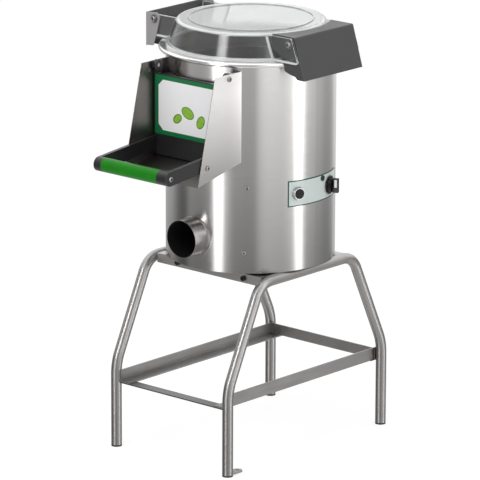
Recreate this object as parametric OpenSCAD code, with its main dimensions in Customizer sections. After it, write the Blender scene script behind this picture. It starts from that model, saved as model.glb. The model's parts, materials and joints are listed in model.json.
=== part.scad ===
// Electric potato peeler: a steel drum with a turning abrasive disc, a discharge chute
// with a hinged door, a clear lid with a sheet latch, and a tubular floor stand.
// +Z is up and z = 0 is the floor. The origin is on the drum axis.
// -Y is the front (chute and drain side), +X is the control side.

/* [Stand] */
// Outer diameter of the stand tube
tube_d = 25.4; // [22:0.1:28]
// Wall of the stand tube
tube_wall = 1.5; // [1:0.1:2.5]
// Distance of each side frame from the drum axis
frame_x = 176; // [172:1:182]
// Distance of each foot from the drum axis, front to back
foot_y = 277; // [260:1:300]
// Distance of each shoulder corner from the drum axis, front to back
shoulder_y = 165; // [155:1:175]
// Height of the knee corner where the legs start to lean
knee_z = 205; // [198:1:230]
// Height of the stand
stand_h = 453.5; // [420:0.5:500]
// Centre-line radius of the shoulder bends
shoulder_bend_r = 55; // [40:1:70]
// Centre-line radius of the knee bends
knee_bend_r = 120; // [60:1:150]
// Half length of the plate that carries the drum, front to back
plate_half_y = 147; // [144:1:160]
// Thickness of that plate
plate_t = 3; // [2:0.5:5]
// Height of the plate's top above the axis of the frames' upper tubes
plate_rise = 8.5; // [6:0.5:10]
// Height of the plate's turned-down edges
plate_fold_h = 22.5; // [16:0.5:24]
// Width of each leg of the ledge angles
ledge_w = 30; // [24:1:36]
// Thickness of the ledge angles and the strips
ledge_t = 3; // [2:0.5:4]
// Height of the underside of the ledges
ledge_z = 160; // [120:1:162]
// Width of the front tie strip
tie_w = 27; // [20:1:40]
// Height of the rear stop strip
stop_h = 26; // [18:1:26]

/* [Feet] */
// Thickness of the plug under each tube end
plug_flange_t = 4; // [3:0.5:6]
// Length of the plug inside the tube
plug_shank_h = 20; // [12:1:30]
// Slack of the plug in its tube, per side
plug_fit = 0.1; // [0.05:0.05:0.2]
// Diameter of the levelling pad
pad_d = 14.5; // [12:0.5:16]
// Thickness of the levelling pad
pad_t = 5; // [4:0.5:8]
// Diameter of the levelling screw
level_screw_d = 8; // [6:1:8]
// Length of the levelling screw above its pad
level_screw_h = 30; // [24:1:40]
// Slack of the levelling screw in its plug, per side
level_fit = 0.1; // [0.05:0.05:0.2]
// Height of the retracted pad above the floor
pad_lift = 0.4; // [0.3:0.1:1]
// Width of the floor-fixing tab
tab_w = 25; // [20:1:30]
// Reach of the tab beyond the tube
tab_reach = 33; // [28:1:45]
// Thickness of the tab
tab_t = 3; // [2:0.5:5]
// Diameter of the bolt hole in the tab
tab_hole_d = 9; // [7:0.5:11]

/* [Drum] */
// Outer diameter of the drum
drum_d = 400; // [396:1:410]
// Thickness of the drum and chute sheet
sheet_t = 1.5; // [1:0.1:2]
// Height of the drum below its rim
drum_h = 492.2; // [480:0.1:520]
// Gap between the drum's bottom and the frames' upper tubes
drum_lift = 0.3; // [0.3:0.1:2]
// Diameter of the rubber buffers
buffer_d = 20; // [14:1:24]
// Radius of the buffer ring
buffer_ring_r = 150; // [140:1:152]
// Angle of the front right buffer and its mirror image behind
buffer_a1 = -54; // [-60:1:-50]
// Angle of the front left buffer and its mirror image behind
buffer_a2 = -114.5; // [-120:0.5:-113]
// Diameter of the buffer bolts
buffer_bolt_d = 6; // [5:1:8]
// Thickness of the drum floor
floor_t = 2; // [1.5:0.5:3]
// Height of the rounded rim
rim_h = 11; // [9:0.5:13]
// Overhang of the rim outside the drum
rim_out = 17; // [14:0.5:17]
// Ledge of the rim inside the drum
rim_in = 6; // [5.5:0.5:8]
// Width of the lid seal
seal_w = 3; // [2:0.5:3.5]
// Depth of the lid seal in its groove
seal_depth = 3; // [2:0.5:5]
// Thickness of the abrasive wall lining
lining_t = 5; // [3:0.5:5.5]
// Drop of the wall lining's top edge below the rim
lining_drop = 41; // [41:1:50]

/* [Discharge] */
// Sheet left beside the discharge opening, inside the chute
opening_lip = 10; // [8:0.5:14]
// Height of the top edge of the opening below the rim
opening_drop = 41; // [39:1:49]
// Half width of the chute over its side plates
chute_half_w = 115; // [113:0.5:120]
// Height of the chute's top edge below the rim
chute_drop = 11; // [10:0.5:14]
// Reach of the chute's top edge from the drum axis
chute_top_y = 254; // [250:1:262]
// Reach of the chute's front lip from the drum axis
chute_lip_y = 313; // [300:1:330]
// Height of the chute's front lip above the pan
chute_lip_rise = 17; // [14:1:21]
// Slope of the chute floor, in degrees
chute_slope = 12.2; // [10:0.1:12.4]
// Reach of the door's hinge from the drum axis
door_hinge_y = 207; // [206:0.5:209]
// Height of the door's hinge below the rim
door_hinge_drop = 22; // [21:0.5:24]
// Radius of the door's hinge lugs
door_lug_r = 13; // [11:0.5:14]
// Slack of the door beside each chute plate
door_side_gap = 1.5; // [1:0.1:2.5]
// Thickness of the door panel
door_t = 10; // [7:0.5:11]
// Gap of the door panel to the drum's front
door_gap = 3; // [2:0.5:4]
// Height of the door panel's lower edge above the chute's front lip
door_low_rise = 26.5; // [25:0.5:32]
// Drop of the door panel's top edge below its hinge
door_top_drop = 18; // [16:0.5:20]
// Thickness of the door arms
arm_t = 9; // [7:0.5:10]
// Rise of the arms from the handle to the panel
arm_rise = 18; // [10:1:20]
// Reach of the handle's centre from the drum axis
handle_y = 403; // [380:1:420]
// Radius of the handle bar
handle_r = 17; // [15:0.5:18]
// Depth of the handle bar behind its centre
handle_back = 8; // [6:0.5:10]
// Bare end of the handle left of its sleeve
handle_end = 22; // [15:0.5:40]
// Extra length of the bare end on the right
handle_end_more = 8; // [0:0.5:12]
// Thickness of the handle sleeve
sleeve_t = 3; // [2:0.5:4]
// Height of the handle's centre above the door panel's lower edge
handle_rise = 10.5; // [8:0.5:14]
// Margin of the label plate to the door's sides
label_margin = 4; // [3:0.5:12]
// Bare height of the door panel below the label plate
label_foot = 49.5; // [47:0.5:80]
// Thickness of the label plate
label_t = 1; // [0.5:0.1:1.5]
// Overlap of the door gasket beside the opening
gasket_lap = 3; // [1:0.5:5]
// Width of the door gasket's frame
gasket_w = 10; // [8:1:14]
// Clear gap of the gasket to the drum
gasket_gap = 0.4; // [0.3:0.1:0.6]
// Radius of the handle's end screws
handle_screw_r = 3; // [2:0.5:4]
// Length of the handle's end screws
handle_screw_l = 16; // [10:1:20]
// Diameter of the chute's pivot screws
pivot_screw_d = 8; // [6:0.5:8]

/* [Drain] */
// Outer diameter of the drain pipe
pipe_d = 90; // [80:1:90]
// Wall of the drain pipe
pipe_wall = 1.5; // [1:0.1:2.5]
// Height of the pipe above the drum's bottom
pipe_rise = 77.2; // [72:0.1:85]
// Reach of the pipe's mouth from the drum axis
pipe_reach = 243; // [230:1:260]
// Distance of the vertical drain from the drum axis
drain_y = 135; // [133:1:140]
// Height of the weld bead round the pipe
weld_h = 1; // [1:0.5:3]

/* [Lid] */
// Gap of the closed lid above the rim
lid_gap = 0.5; // [0.4:0.1:0.6]
// Thickness of the lid
lid_t = 3; // [2:0.5:4]
// Thickness of the lid's foot ring
lid_foot_t = 6; // [5:0.5:8]
// Height of the lid
lid_h = 61.5; // [56:0.5:64]
// Radius of the circle of corner centres at the top of the lid
lid_shoulder_r = 167; // [163:0.5:168]
// Radius of the corner at the top of the lid
lid_corner_r = 11; // [8:0.5:14]
// Lean of the lid's side wall, in degrees
lid_draft = 17.5; // [12:0.5:18]
// Radius of the bead on top of the lid
lid_bead_r = 146; // [130:1:150]
// Height of the bead
lid_bead_h = 2; // [1:0.5:3]
// Distance of the latch's pivots from the drum axis
pivot_x = 211.5; // [209:0.5:214]
// Distance of the lid's hinge from the drum axis
hinge_x = 216; // [214:0.5:218]
// Drop of the hinge's pivots below the latch's
hinge_fall = 3.5; // [2:0.5:5]
// Distance of the lid's hinge ears from the drum axis, inner face
hinge_ear_y = 91; // [88:1:94]
// Height of the lid's pivots above the rim
pivot_rise = 46.5; // [44:0.5:48]
// Distance of the lid's ears from the drum axis, inner face
ear_y = 104; // [96:1:108]
// Thickness of the ears
ear_t = 5; // [4:0.5:6]
// Diameter of the pivot bolts
bolt_d = 8; // [6:0.5:8]
// Running slack of the pivot bolts, per side
bolt_fit = 0.1; // [0.05:0.01:0.1]
// Thickness of the hinge bracket sheet
bracket_t = 2.5; // [2:0.5:3]
// Gap between an ear and the bracket beside it
bracket_gap = 0.5; // [0.3:0.1:1]
// Distance of the bracket's back plate from the drum axis
bracket_x = 242.5; // [242:0.5:246]
// Thickness of the blocks that carry the bracket
block_w = 24; // [18:1:24]
// Height of the blocks that carry the bracket
block_h = 6; // [5:0.5:7]
// Thickness of the latch cover sheet
cover_t = 2; // [1.5:0.5:2.5]
// Gap between an ear and the latch cover
cover_gap = 0.3; // [0.3:0.1:0.6]
// Distance of the latch cover's upper fold from the drum axis
cover_fold_x = 223; // [220:0.5:228]
// Distance of the latch cover's lower edge from the drum axis
cover_foot_x = 253; // [250:0.5:260]
// Height of the latch cover
cover_h = 98; // [90:0.5:98]
// Height of the latch cover's top above the rim
cover_rise = 63; // [62:0.5:64]

/* [Controls] */
// Drop of the control plate's middle below the pan
control_drop = 31; // [30:1:34]
// Height of the control plate
control_h = 62; // [54:1:62]
// Angle of the control plate's front end
control_a1 = -23; // [-26:1:-22]
// Angle of the control plate's rear end
control_a2 = 29; // [28:1:32]
// Thickness of the control plate
control_t = 1; // [0.5:0.1:1.5]
// Angle of the push button
button_a = -15.6; // [-17:0.1:-14]
// Diameter of the push button's bezel
bezel_d = 32; // [31:0.5:34]
// Diameter of the push button
button_d = 23.5; // [20:0.5:24]
// Travel of the push button
button_travel = 3; // [2:0.5:4]
// Height of the push button above its bezel
button_rise = 1.5; // [1:0.5:3]
// Running slack of the push button, per side
button_fit = 0.1; // [0.05:0.01:0.1]
// Angle of the timer
timer_a = 17; // [15:0.1:20]
// Drop of the timer below the control plate's middle
timer_drop = 1; // [0:1:8]
// Diameter of the timer knob's base
knob_d = 44; // [38:1:46]
// Thickness of the timer knob's flange
knob_flange_t = 2; // [1.5:0.5:3]
// Height of the timer knob's round body on the flange
knob_body_h = 7; // [4:0.5:9]
// Height of the timer knob's grip on the flange
knob_grip_h = 20; // [12:0.5:22]
// Width of the timer knob's grip
knob_grip_w = 11; // [8:0.5:14]
// Diameter of the timer's spindle
timer_shaft_d = 6; // [5:0.5:7]
// Running slack of the timer's spindle, per side
timer_fit = 0.05; // [0.03:0.01:0.1]
// Depth of the timer's body
timer_depth = 38; // [30:1:40]
// Width of the timer's body
timer_w = 40; // [34:1:42]
// Angle of the pilot lamp
lamp_a = 7.6; // [6:0.1:9]
// Diameter of the pilot lamp's lens
lamp_d = 13; // [8:0.5:13.5]
// Height of the lamp above the control plate's middle
lamp_rise = 22; // [20:0.5:23]

/* [Services] */
// Angle of the cable gland behind the drum
gland_a = 90; // [80:1:100]
// Height of the cable gland above the drum's bottom
gland_rise = 70.7; // [67:0.1:90]
// Radius of the cable gland's thread
gland_r = 8; // [7:0.5:10]
// Radius of the cable hole through the gland
gland_bore_r = 4.5; // [3:0.5:5.5]
// Angle of the water inlet
inlet_a = 90; // [80:1:100]
// Drop of the water inlet below the rim
inlet_drop = 25; // [22:0.5:25.5]
// Radius of the water inlet's thread
inlet_r = 10.5; // [8:0.5:12]
// Radius of the water inlet's bore
inlet_bore_r = 7; // [5:0.5:7.5]
// Reach of the water inlet outside the drum
inlet_out = 28; // [20:1:35]
// Length of the spray spout below the inlet
spout_l = 24; // [18:1:30]

/* [Drive] */
// Height of the pan above the drum's bottom
pan_rise = 216.2; // [210:0.1:220]
// Thickness of the pan
pan_t = 3; // [2:0.5:4]
// Height of the drive plate above the drum's bottom
drive_plate_rise = 38; // [36.5:0.5:40.5]
// Thickness of the drive plate
drive_plate_t = 3; // [2:0.5:4]
// Diameter of the main spindle
spindle_d = 25; // [22:1:25]
// Running slack of a shaft in its bearing, per side
bearing_fit = 0.05; // [0.02:0.01:0.08]
// Outer diameter of the bearings
bearing_d = 52; // [48:1:56]
// Width of the bearings
bearing_w = 15; // [12:1:16]
// Outer diameter of the bearing housing
housing_d = 76; // [72:1:78]
// Diameter of the housing's flange
housing_flange_d = 128; // [124:1:130]
// Height of the housing's collar above the pan
collar_h = 11; // [9:0.5:12]
// Diameter of the abrasive disc
disc_d = 376; // [370:1:380]
// Thickness of the abrasive disc
disc_t = 8; // [6:0.5:10]
// Gap between the pan and the underside of the disc
disc_clear = 19; // [18:0.5:20]
// Thickness of the disc's abrasive coat
coat_t = 4; // [3:0.5:5]
// Height of the ridges on the disc
ridge_h = 8; // [5:0.5:10]
// Length of the spindle above the disc
spindle_out = 12; // [8:1:16]
// Diameter of the knob that holds the disc
disc_knob_d = 56; // [50:1:60]
// Effective diameter of the driven pulley
driven_d = 160; // [140:1:166]
// Effective diameter of the motor pulley
driver_d = 36; // [30:1:44]
// Width of the drive belt
belt_w = 14; // [10:1:14]
// Thickness of the drive belt
belt_t = 4; // [3:0.5:5]
// Height of the pulleys above the drum floor
pulley_rise = 12; // [10.5:0.5:13.5]
// Sideways place of the motor
motor_x = -40; // [-44:1:-36]
// Backward place of the motor
motor_y = 110; // [108:1:114]
// Diameter of the motor
motor_d = 124; // [116:1:126]
// Gap between the motor and the pan above it
motor_gap = 20; // [15:1:35]
// Diameter of the motor's shaft
motor_shaft_d = 14; // [12:1:16]
// Diameter of the rotor
rotor_d = 60; // [50:1:66]

/* [Hidden] */
$fn = 96;
TINY = 0.01;

// Stand
tube_r = tube_d / 2;
seam_gap = 0.2;
seam_l = 1.2;
seam_proud = 0.04;
tube_axis_z = stand_h - tube_r;
inner_x = frame_x - tube_r;
lean = atan2(foot_y - shoulder_y, tube_axis_z - knee_z);
knee_cut = knee_bend_r * tan(lean / 2);
shoulder_cut = shoulder_bend_r * tan((90 - lean) / 2);
leg_run = knee_z - knee_cut - plug_flange_t;
slope_run = norm([foot_y - shoulder_y, tube_axis_z - knee_z]) - knee_cut - shoulder_cut;
top_run = 2 * (shoulder_y - shoulder_cut);
ledge_floor_z = ledge_z + ledge_t;
bumper_left = 98;
bumper_right = 109;
bumper_drop = 11.5;
bumper_d = 13;
bumper_h = 5;
bumper_bolt_d = 4;
bumper_head_t = 2;
plug_shank_r = tube_r - tube_wall - plug_fit;

// Drum levels
drum_r = drum_d / 2;
bore_r = drum_r - sheet_t;
plate_top_z = tube_axis_z + plate_rise;
drum_z = stand_h + drum_lift;
buffer_h = drum_z - plate_top_z;
rim_z = drum_z + drum_h;
top_z = rim_z + rim_h;
lining_r = bore_r - lining_t;
pan_z = drum_z + pan_rise;
pan_top_z = pan_z + pan_t;
lining_h = rim_z - lining_drop - pan_top_z;
buffer_angles = [buffer_a1, buffer_a2, -buffer_a1, -buffer_a2];
blank_over = 100;
wall_cut = 30;
bolt_head_t = 4;
screw_head_t = 3;
seal_stand = 0.2;
seal_r = drum_r - rim_in / 2 - seal_w / 2 + 1;

// Fasteners
nut_t = 6;
washer_r = 10;
washer_t = 1.5;
handle_head_t = 2.5;

// Discharge
opening_half_w = chute_half_w - opening_lip;
chute_in = chute_half_w - sheet_t;
chute_root_y = sqrt(pow(drum_r, 2) - pow(chute_half_w, 2));
chute_top_z = rim_z - chute_drop;
chute_lip_z = pan_z + chute_lip_rise;
door_hinge_z = rim_z - door_hinge_drop;
door_half_w = chute_in - door_side_gap;
door_back_y = drum_r + door_gap;
door_front_y = door_back_y + door_t;
door_top_z = door_hinge_z - door_top_drop;
door_low_z = chute_lip_z + door_low_rise;
door_h = door_top_z - door_low_z;
handle_z = door_low_z + handle_rise;
label_top_z = door_top_z - 2;
label_w = 2 * (door_half_w - label_margin);
label_h = label_top_z - door_low_z - label_foot;
sleeve_from = handle_end - door_half_w;
sleeve_l = 2 * (door_half_w - handle_end) - handle_end_more;
opening_top_z = rim_z - opening_drop;
gasket_half_w = opening_half_w + gasket_lap;
gasket_low_z = door_low_z + 7.5;
gasket_top_z = door_top_z - 4;
stop_screw_y = chute_lip_y - 32;
stop_screw_rise = 34;
door_switch_t = 14;
door_switch_w = 30;
door_switch_h = 60;
door_switch_gap = 12.4;
door_switch_z = chute_top_z - 130;

// Drain
pipe_r = pipe_d / 2;
neck_step = 0.5;
neck_r = pipe_r - neck_step;
pipe_z = drum_z + pipe_rise;

// Lid, bracket and latch
lid_z = top_z + lid_gap;
lid_top_z = lid_z + lid_h;
lid_corner_z = lid_top_z - lid_corner_r;
pivot_z = top_z + pivot_rise;
ear_top_z = pivot_z + 14;
ear_low_z = top_z + 1.5;
ear_out_y = ear_y + ear_t;
hinge_z = pivot_z - hinge_fall;
cheek_y = hinge_ear_y + ear_t + bracket_gap;
bracket_out_y = cheek_y + bracket_t;
bracket_low = 67.5;
bracket_high = 13;
block_y = hinge_ear_y - block_w;
block_drop = 2;
cover_top_z = top_z + cover_rise;
cover_foot_z = cover_top_z - cover_h;
cover_out_y = ear_y - cover_gap;
cover_lean = atan2(cover_foot_x - cover_fold_x, cover_h);
cover_clear_r = drum_r - 13;
rim_edge_x = sqrt(pow(drum_r + rim_out, 2) - pow(cover_out_y - cover_t, 2));
nose_gap = 0.8;
magnet_t = 5;
magnet_w = 20;
magnet_l = 30;
magnet_rise = 15;
switch_x = 230;
lid_switch_w = 30;
lid_switch_h = 29;

// Controls
control_z = pan_z - control_drop;
bezel_h = 8;
bezel_edge = 0.5;
barrel_r = button_d / 2 + 2;
switch_depth = 32;
button_l = button_rise + 9;
timer_z = control_z - timer_drop;
timer_bush_r = timer_shaft_d / 2 + 2.5;
timer_shaft_l = timer_depth - 6;
bush_out = 1;
knob_flange_rim = 4.5;
knob_taper = 2;
lamp_barrel_r = lamp_d / 2 - 0.5;
lamp_out = 2.5;
lamp_depth = 18;

// Services
gland_z = drum_z + gland_rise;
gland_hex_r = gland_r + 4;
gland_hex_h = 6;
gland_nut_h = 5;
gland_in = 12;
gland_out = 14;
inlet_z = rim_z - inlet_drop;
plate_film = 0.2;
inlet_neck_r = inlet_r - 0.5;
inlet_hex_r = inlet_r + 5;
inlet_hex_h = 6;
spout_r = inlet_r - 1;
spout_bore_r = inlet_bore_r - 3;
spout_gap = 1;
inlet_in = sheet_t + lining_t + spout_gap + 2 * spout_r;

// Drive levels
drive_plate_z = drum_z + drive_plate_rise;
drive_top_z = drive_plate_z + drive_plate_t;
drive_plate_gap = 1.5;
spindle_gap = 8;
shaft_gap = 10;
pipe_gap = 5;
drive_tab_t = 3;
drive_tab_w = 20;
drive_tab_h = 16;
casing_screw_a = -53;
casing_screw_r = 2.5;
casing_screw_n = 3;
casing_screw_past = 2;
pan_screw_a = -51;
pan_tab_h = 24;
casing_screw_z = drive_top_z + drive_tab_h / 2;
spindle_r = spindle_d / 2;
housing_r = housing_d / 2;
housing_low_z = drive_top_z + 7;
flange_t = 10;
bearing_step = 4;
collar_top_z = pan_top_z + collar_h;
lip_seal_t = 8;
lip_gap = 0.3;
disc_low_z = pan_top_z + disc_clear;
disc_top_z = disc_low_z + disc_t;
disc_r = disc_d / 2;
skirt_r = housing_r + 3;
skirt_t = 3.5;
skirt_gap = 5;
hub_gap = 2;
blade_t = 6;
blade_gap = 2;
blade_inset = 4;
housing_bolt_r = 4;
housing_bolt_n = 4;
housing_bolt_ring = (skirt_r + skirt_t + housing_flange_d / 2) / 2;
pulley_z = drum_z + floor_t + pulley_rise;
pulley_flange_t = 1.7;
pulley_lip = 4;
belt_slack = 0.3;
belt_steps = 40;
pulley_h = belt_w + 2 * belt_slack + 2 * pulley_flange_t;
motor_at = [motor_x, motor_y];
motor_top_z = pan_z - motor_gap;
motor_h = motor_top_z - drive_top_z;
case_end_t = 14;
case_slot_w = 6;
case_slot_n = 8;
capacitor_at = [-110, -60];
capacitor_r = 20;
capacitor_h = 70;
contactor_t = 34;
contactor_w = 45;
contactor_h = 76;
contactor_step = 6;
terminal_n = 4;
terminal_pitch = 12;
terminal_t = 20;
terminal_h = 26;
terminal_hole_r = 3;
tray_t = 2;
tray_x = 119;
tray_h = 102;
tray_half_w = 60;
tray_foot = 28;

// ---------- Shared shapes ----------
function unit(v) = v / norm(v);

// Arc that rounds the corner c between its neighbours p and n
function corner_arc(p, c, n, r, steps) =
    let (
        u = unit(p - c),
        w = unit(n - c),
        half = acos(u * w) / 2,
        m = c + unit(u + w) * r / sin(half),
        s = c + u * r / tan(half) - m,
        e = c + w * r / tan(half) - m,
        a = atan2(s.y, s.x),
        sweep = (atan2(e.y, e.x) - a + 540) % 360 - 180
    )
    [for (i = [0:steps]) m + r * [cos(a + sweep * i / steps), sin(a + sweep * i / steps)]];

// Outline with its corners rounded by the radii in rads (0 keeps a corner sharp)
function rounded(pts, rads, steps = 6) =
    let (k = len(pts))
    [for (i = [0:k - 1])
        each rads[i] > 0
            ? corner_arc(pts[(i + k - 1) % k], pts[i], pts[(i + 1) % k], rads[i], steps)
            : [pts[i]]];

module both_x() {
    children();
    mirror([1, 0, 0]) children();
}

module both_y() {
    children();
    mirror([0, 1, 0]) children();
}

module ring(outer, inner, h) {
    rotate_extrude() translate([inner, 0]) square([outer - inner, h]);
}

// Solid cylinder of the drum's size, for cutting what seats on it
module drum_blank(r) {
    translate([0, 0, drum_z - blank_over]) cylinder(r = r, h = drum_h + 3 * blank_over);
}

// Puts a shape on the drum's surface with its own +Z pointing outward
module on_drum(a, z, r = drum_r) {
    rotate([0, 0, a]) translate([r, 0, z]) rotate([0, 90, 0]) children();
}

// Plate with a Y-Z outline, from x to x + t
module yz_plate(x, t) {
    translate([x, 0, 0]) rotate([90, 0, 90]) linear_extrude(t) children();
}

// Plate with an X-Z outline, from y to y + t
module xz_plate(y, t) {
    translate([0, y + t, 0]) rotate([90, 0, 0]) linear_extrude(t) children();
}

// Round bar along X, centred on x = 0
module x_bar(r, l, y, z) {
    translate([-l / 2, y, z]) rotate([0, 90, 0]) cylinder(r = r, h = l);
}

// ---------- Stand ----------
module tube_section(proud = 0) {
    difference() {
        circle(r = tube_r + proud);
        circle(r = tube_r - tube_wall - proud);
    }
}

module tube_run(l) {
    translate([0, 0, seam_gap]) linear_extrude(l - 2 * seam_gap) tube_section();
}

module tube_bend(r, a) {
    translate([0, r, 0]) rotate([90, 0, -90]) rotate_extrude(angle = a)
        translate([r, 0]) tube_section();
}

module tube_seam() {
    translate([0, 0, -seam_l / 2]) linear_extrude(seam_l) tube_section(seam_proud);
}

module past_bend(r, a) {
    translate([0, r, 0]) rotate([-a, 0, 0]) translate([0, -r, 0]) children();
}

// leg, knee bend, leaning run and shoulder bend, with a fine weld seam at each joint
module half_frame() {
    translate([0, -foot_y, plug_flange_t]) {
        translate([0, 0, -seam_gap]) tube_run(leg_run + seam_gap);
        translate([0, 0, leg_run]) {
            tube_seam();
            tube_bend(knee_bend_r, lean);
            past_bend(knee_bend_r, lean) {
                tube_seam();
                tube_run(slope_run);
                translate([0, 0, slope_run]) {
                    tube_seam();
                    tube_bend(shoulder_bend_r, 90 - lean);
                }
            }
        }
    }
}

module side_frame(side) {
    color("silver") translate([side * frame_x, 0, 0]) {
        both_y() {
            half_frame();
            translate([0, -top_run / 2, tube_axis_z]) rotate([-90, 0, 0]) tube_seam();
        }
        translate([0, -top_run / 2, tube_axis_z]) rotate([-90, 0, 0]) tube_run(top_run);
    }
}

module stand_left_frame() {
    side_frame(-1);
}

module stand_right_frame() {
    side_frame(1);
}

module at_buffers() {
    for (a = buffer_angles) rotate([0, 0, a]) translate([buffer_ring_r, 0, 0]) children();
}

// Frames of the two bolted bumpers on the plate's front edge, with +Z pointing forward
module at_bumpers() {
    for (x = [-bumper_left, bumper_right]) translate([x, -plate_half_y, plate_top_z - bumper_drop])
        rotate([90, 0, 0]) children();
}

module stand_top_plate() {
    color("gainsboro") difference() {
        translate([-inner_x, -plate_half_y, plate_top_z - plate_fold_h])
            cube([2 * inner_x, 2 * plate_half_y, plate_fold_h]);
        translate([plate_t - inner_x, plate_t - plate_half_y, plate_top_z - plate_fold_h - 1])
            cube([2 * (inner_x - plate_t), 2 * (plate_half_y - plate_t), plate_fold_h - plate_t + 1]);
        at_buffers() translate([0, 0, plate_top_z - plate_t - 1])
            cylinder(d = buffer_bolt_d, h = plate_t + 2);
        at_bumpers() translate([0, 0, -plate_t - 1])
            cylinder(d = bumper_bolt_d, h = plate_t + 2);
    }
}

module ledge_angles() {
    color("silver") both_x() translate([0, -foot_y, ledge_z]) {
        translate([inner_x - ledge_t, 0, 0]) cube([ledge_t, 2 * foot_y, ledge_w]);
        translate([inner_x - ledge_w, 0, 0]) cube([ledge_w, 2 * foot_y, ledge_t]);
    }
}

module front_tie_strip() {
    color("silver") translate([-inner_x, -foot_y, ledge_z - ledge_t])
        cube([2 * inner_x, tie_w, ledge_t]);
}

module rear_stop_strip() {
    color("silver") translate([ledge_t - inner_x, foot_y - tube_r, ledge_floor_z])
        cube([2 * (inner_x - ledge_t), ledge_t, stop_h]);
}

module tube_plugs() {
    color("black") difference() {
        both_x() both_y() translate([frame_x, foot_y, 0]) {
            cylinder(r = tube_r, h = plug_flange_t);
            translate([0, 0, plug_flange_t]) cylinder(r = plug_shank_r, h = plug_shank_h);
        }
        translate([frame_x, -foot_y, -1]) {
            cylinder(d = pad_d + 4 * level_fit, h = pad_lift + pad_t + 2);
            cylinder(d = level_screw_d + 2 * level_fit, h = plug_flange_t + plug_shank_h + 2);
        }
    }
}

module levelling_screw() {
    color("dimgray") translate([frame_x, -foot_y, pad_lift]) {
        cylinder(d = pad_d, h = pad_t);
        cylinder(d = level_screw_d, h = pad_t + level_screw_h);
    }
}

module floor_tab() {
    tab_end = tube_r + tab_reach - tab_w / 2;
    color("gray") translate([frame_x, -foot_y, plug_flange_t]) difference() {
        union() {
            translate([-tab_w / 2, 0, 0]) cube([tab_w, tab_end, tab_t]);
            translate([0, tab_end, 0]) cylinder(d = tab_w, h = tab_t);
        }
        translate([0, 0, -1]) cylinder(r = tube_r, h = tab_t + 2);
        translate([0, tab_end, -1]) cylinder(d = tab_hole_d, h = tab_t + 2);
    }
}

module drum_buffers() {
    color("black") {
        at_buffers() translate([0, 0, plate_top_z]) difference() {
            cylinder(d = buffer_d, h = buffer_h);
            translate([0, 0, -1]) cylinder(d = buffer_bolt_d, h = buffer_h + 2);
        }
        at_bumpers() difference() {
            cylinder(d = bumper_d, h = bumper_h);
            translate([0, 0, -1]) cylinder(d = bumper_bolt_d, h = bumper_h + 2);
        }
    }
}

module buffer_bolts() {
    shank = plate_t + buffer_h + floor_t;
    color("silver") {
        at_buffers() translate([0, 0, plate_top_z - plate_t]) {
            translate([0, 0, -bolt_head_t])
                cylinder(d = 1.7 * buffer_bolt_d, h = bolt_head_t, $fn = 6);
            cylinder(d = buffer_bolt_d, h = shank + bolt_head_t);
            translate([0, 0, shank]) cylinder(d = 1.7 * buffer_bolt_d, h = bolt_head_t, $fn = 6);
        }
        at_bumpers() {
            translate([0, 0, -plate_t]) cylinder(d = bumper_bolt_d, h = plate_t + bumper_h);
            translate([0, 0, bumper_h]) cylinder(d = 1.6 * bumper_bolt_d, h = bumper_head_t);
        }
    }
}

// ---------- Drum ----------
module drum_floor() {
    color("silver") difference() {
        translate([0, 0, drum_z]) cylinder(r = bore_r, h = floor_t);
        at_buffers() translate([0, 0, drum_z - 1]) cylinder(d = buffer_bolt_d, h = floor_t + 2);
    }
}

// Height of the chute sheet's underside at the distance y in front of the axis
function chute_floor_z(y) = chute_lip_z + (chute_lip_y - y) * tan(chute_slope);

// Channel that the potatoes leave through, from inside the drum to past its front
module discharge_channel(grow) {
    rise = sheet_t / cos(chute_slope) - grow;
    near = drum_r / 2;
    far = drum_r + 20;
    yz_plate(-opening_half_w - grow, 2 * (opening_half_w + grow))
        polygon([[-far, chute_floor_z(far) + rise], [-near, chute_floor_z(near) + rise],
            [-near, opening_top_z + grow], [-far, opening_top_z + grow]]);
}

module pipe_run(r, from_y, to_y) {
    translate([0, -from_y, pipe_z]) rotate([90, 0, 0]) cylinder(r = r, h = to_y - from_y);
}

module at_casing_screws() {
    for (i = [0:casing_screw_n - 1])
        on_drum(casing_screw_a + 360 * i / casing_screw_n, casing_screw_z) children();
}

module at_pan_screws() {
    for (i = [0:casing_screw_n - 1])
        on_drum(pan_screw_a + 360 * i / casing_screw_n, pan_z - pan_tab_h / 2) children();
}

module radial_hole(r) {
    translate([0, 0, -lining_t - wall_cut]) cylinder(r = r, h = lining_t + 2 * wall_cut);
}

module drum_shell() {
    color("lightgray") difference() {
        translate([0, 0, drum_z]) ring(drum_r, bore_r, drum_h);
        discharge_channel(0);
        pipe_run(neck_r, drum_r - wall_cut, drum_r + wall_cut);
        at_casing_screws() radial_hole(casing_screw_r);
        at_pan_screws() radial_hole(casing_screw_r);
        on_drum(button_a, control_z) radial_hole(barrel_r);
        on_drum(timer_a, timer_z) radial_hole(timer_bush_r);
        on_drum(lamp_a, control_z + lamp_rise) radial_hole(lamp_barrel_r);
        on_drum(gland_a, gland_z) radial_hole(gland_r);
        on_drum(inlet_a, inlet_z) radial_hole(inlet_neck_r);
    }
}

module rim_ring() {
    bead_r = rim_h / 2;
    color("whitesmoke") rotate_extrude() difference() {
        union() {
            translate([drum_r - rim_in, rim_z])
                square([rim_in + rim_out - bead_r, rim_h]);
            translate([drum_r + rim_out - bead_r, rim_z + bead_r]) circle(r = bead_r);
        }
        translate([seal_r - seal_w / 2, top_z - seal_depth]) square([seal_w, seal_depth + 1]);
    }
}

module lid_seal() {
    color("black") translate([0, 0, top_z - seal_depth])
        ring(seal_r + seal_w / 2, seal_r - seal_w / 2, seal_depth + seal_stand);
}

module wall_lining() {
    color("dimgray") difference() {
        translate([0, 0, pan_top_z]) ring(bore_r, lining_r, lining_h);
        discharge_channel(2);
    }
}

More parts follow.
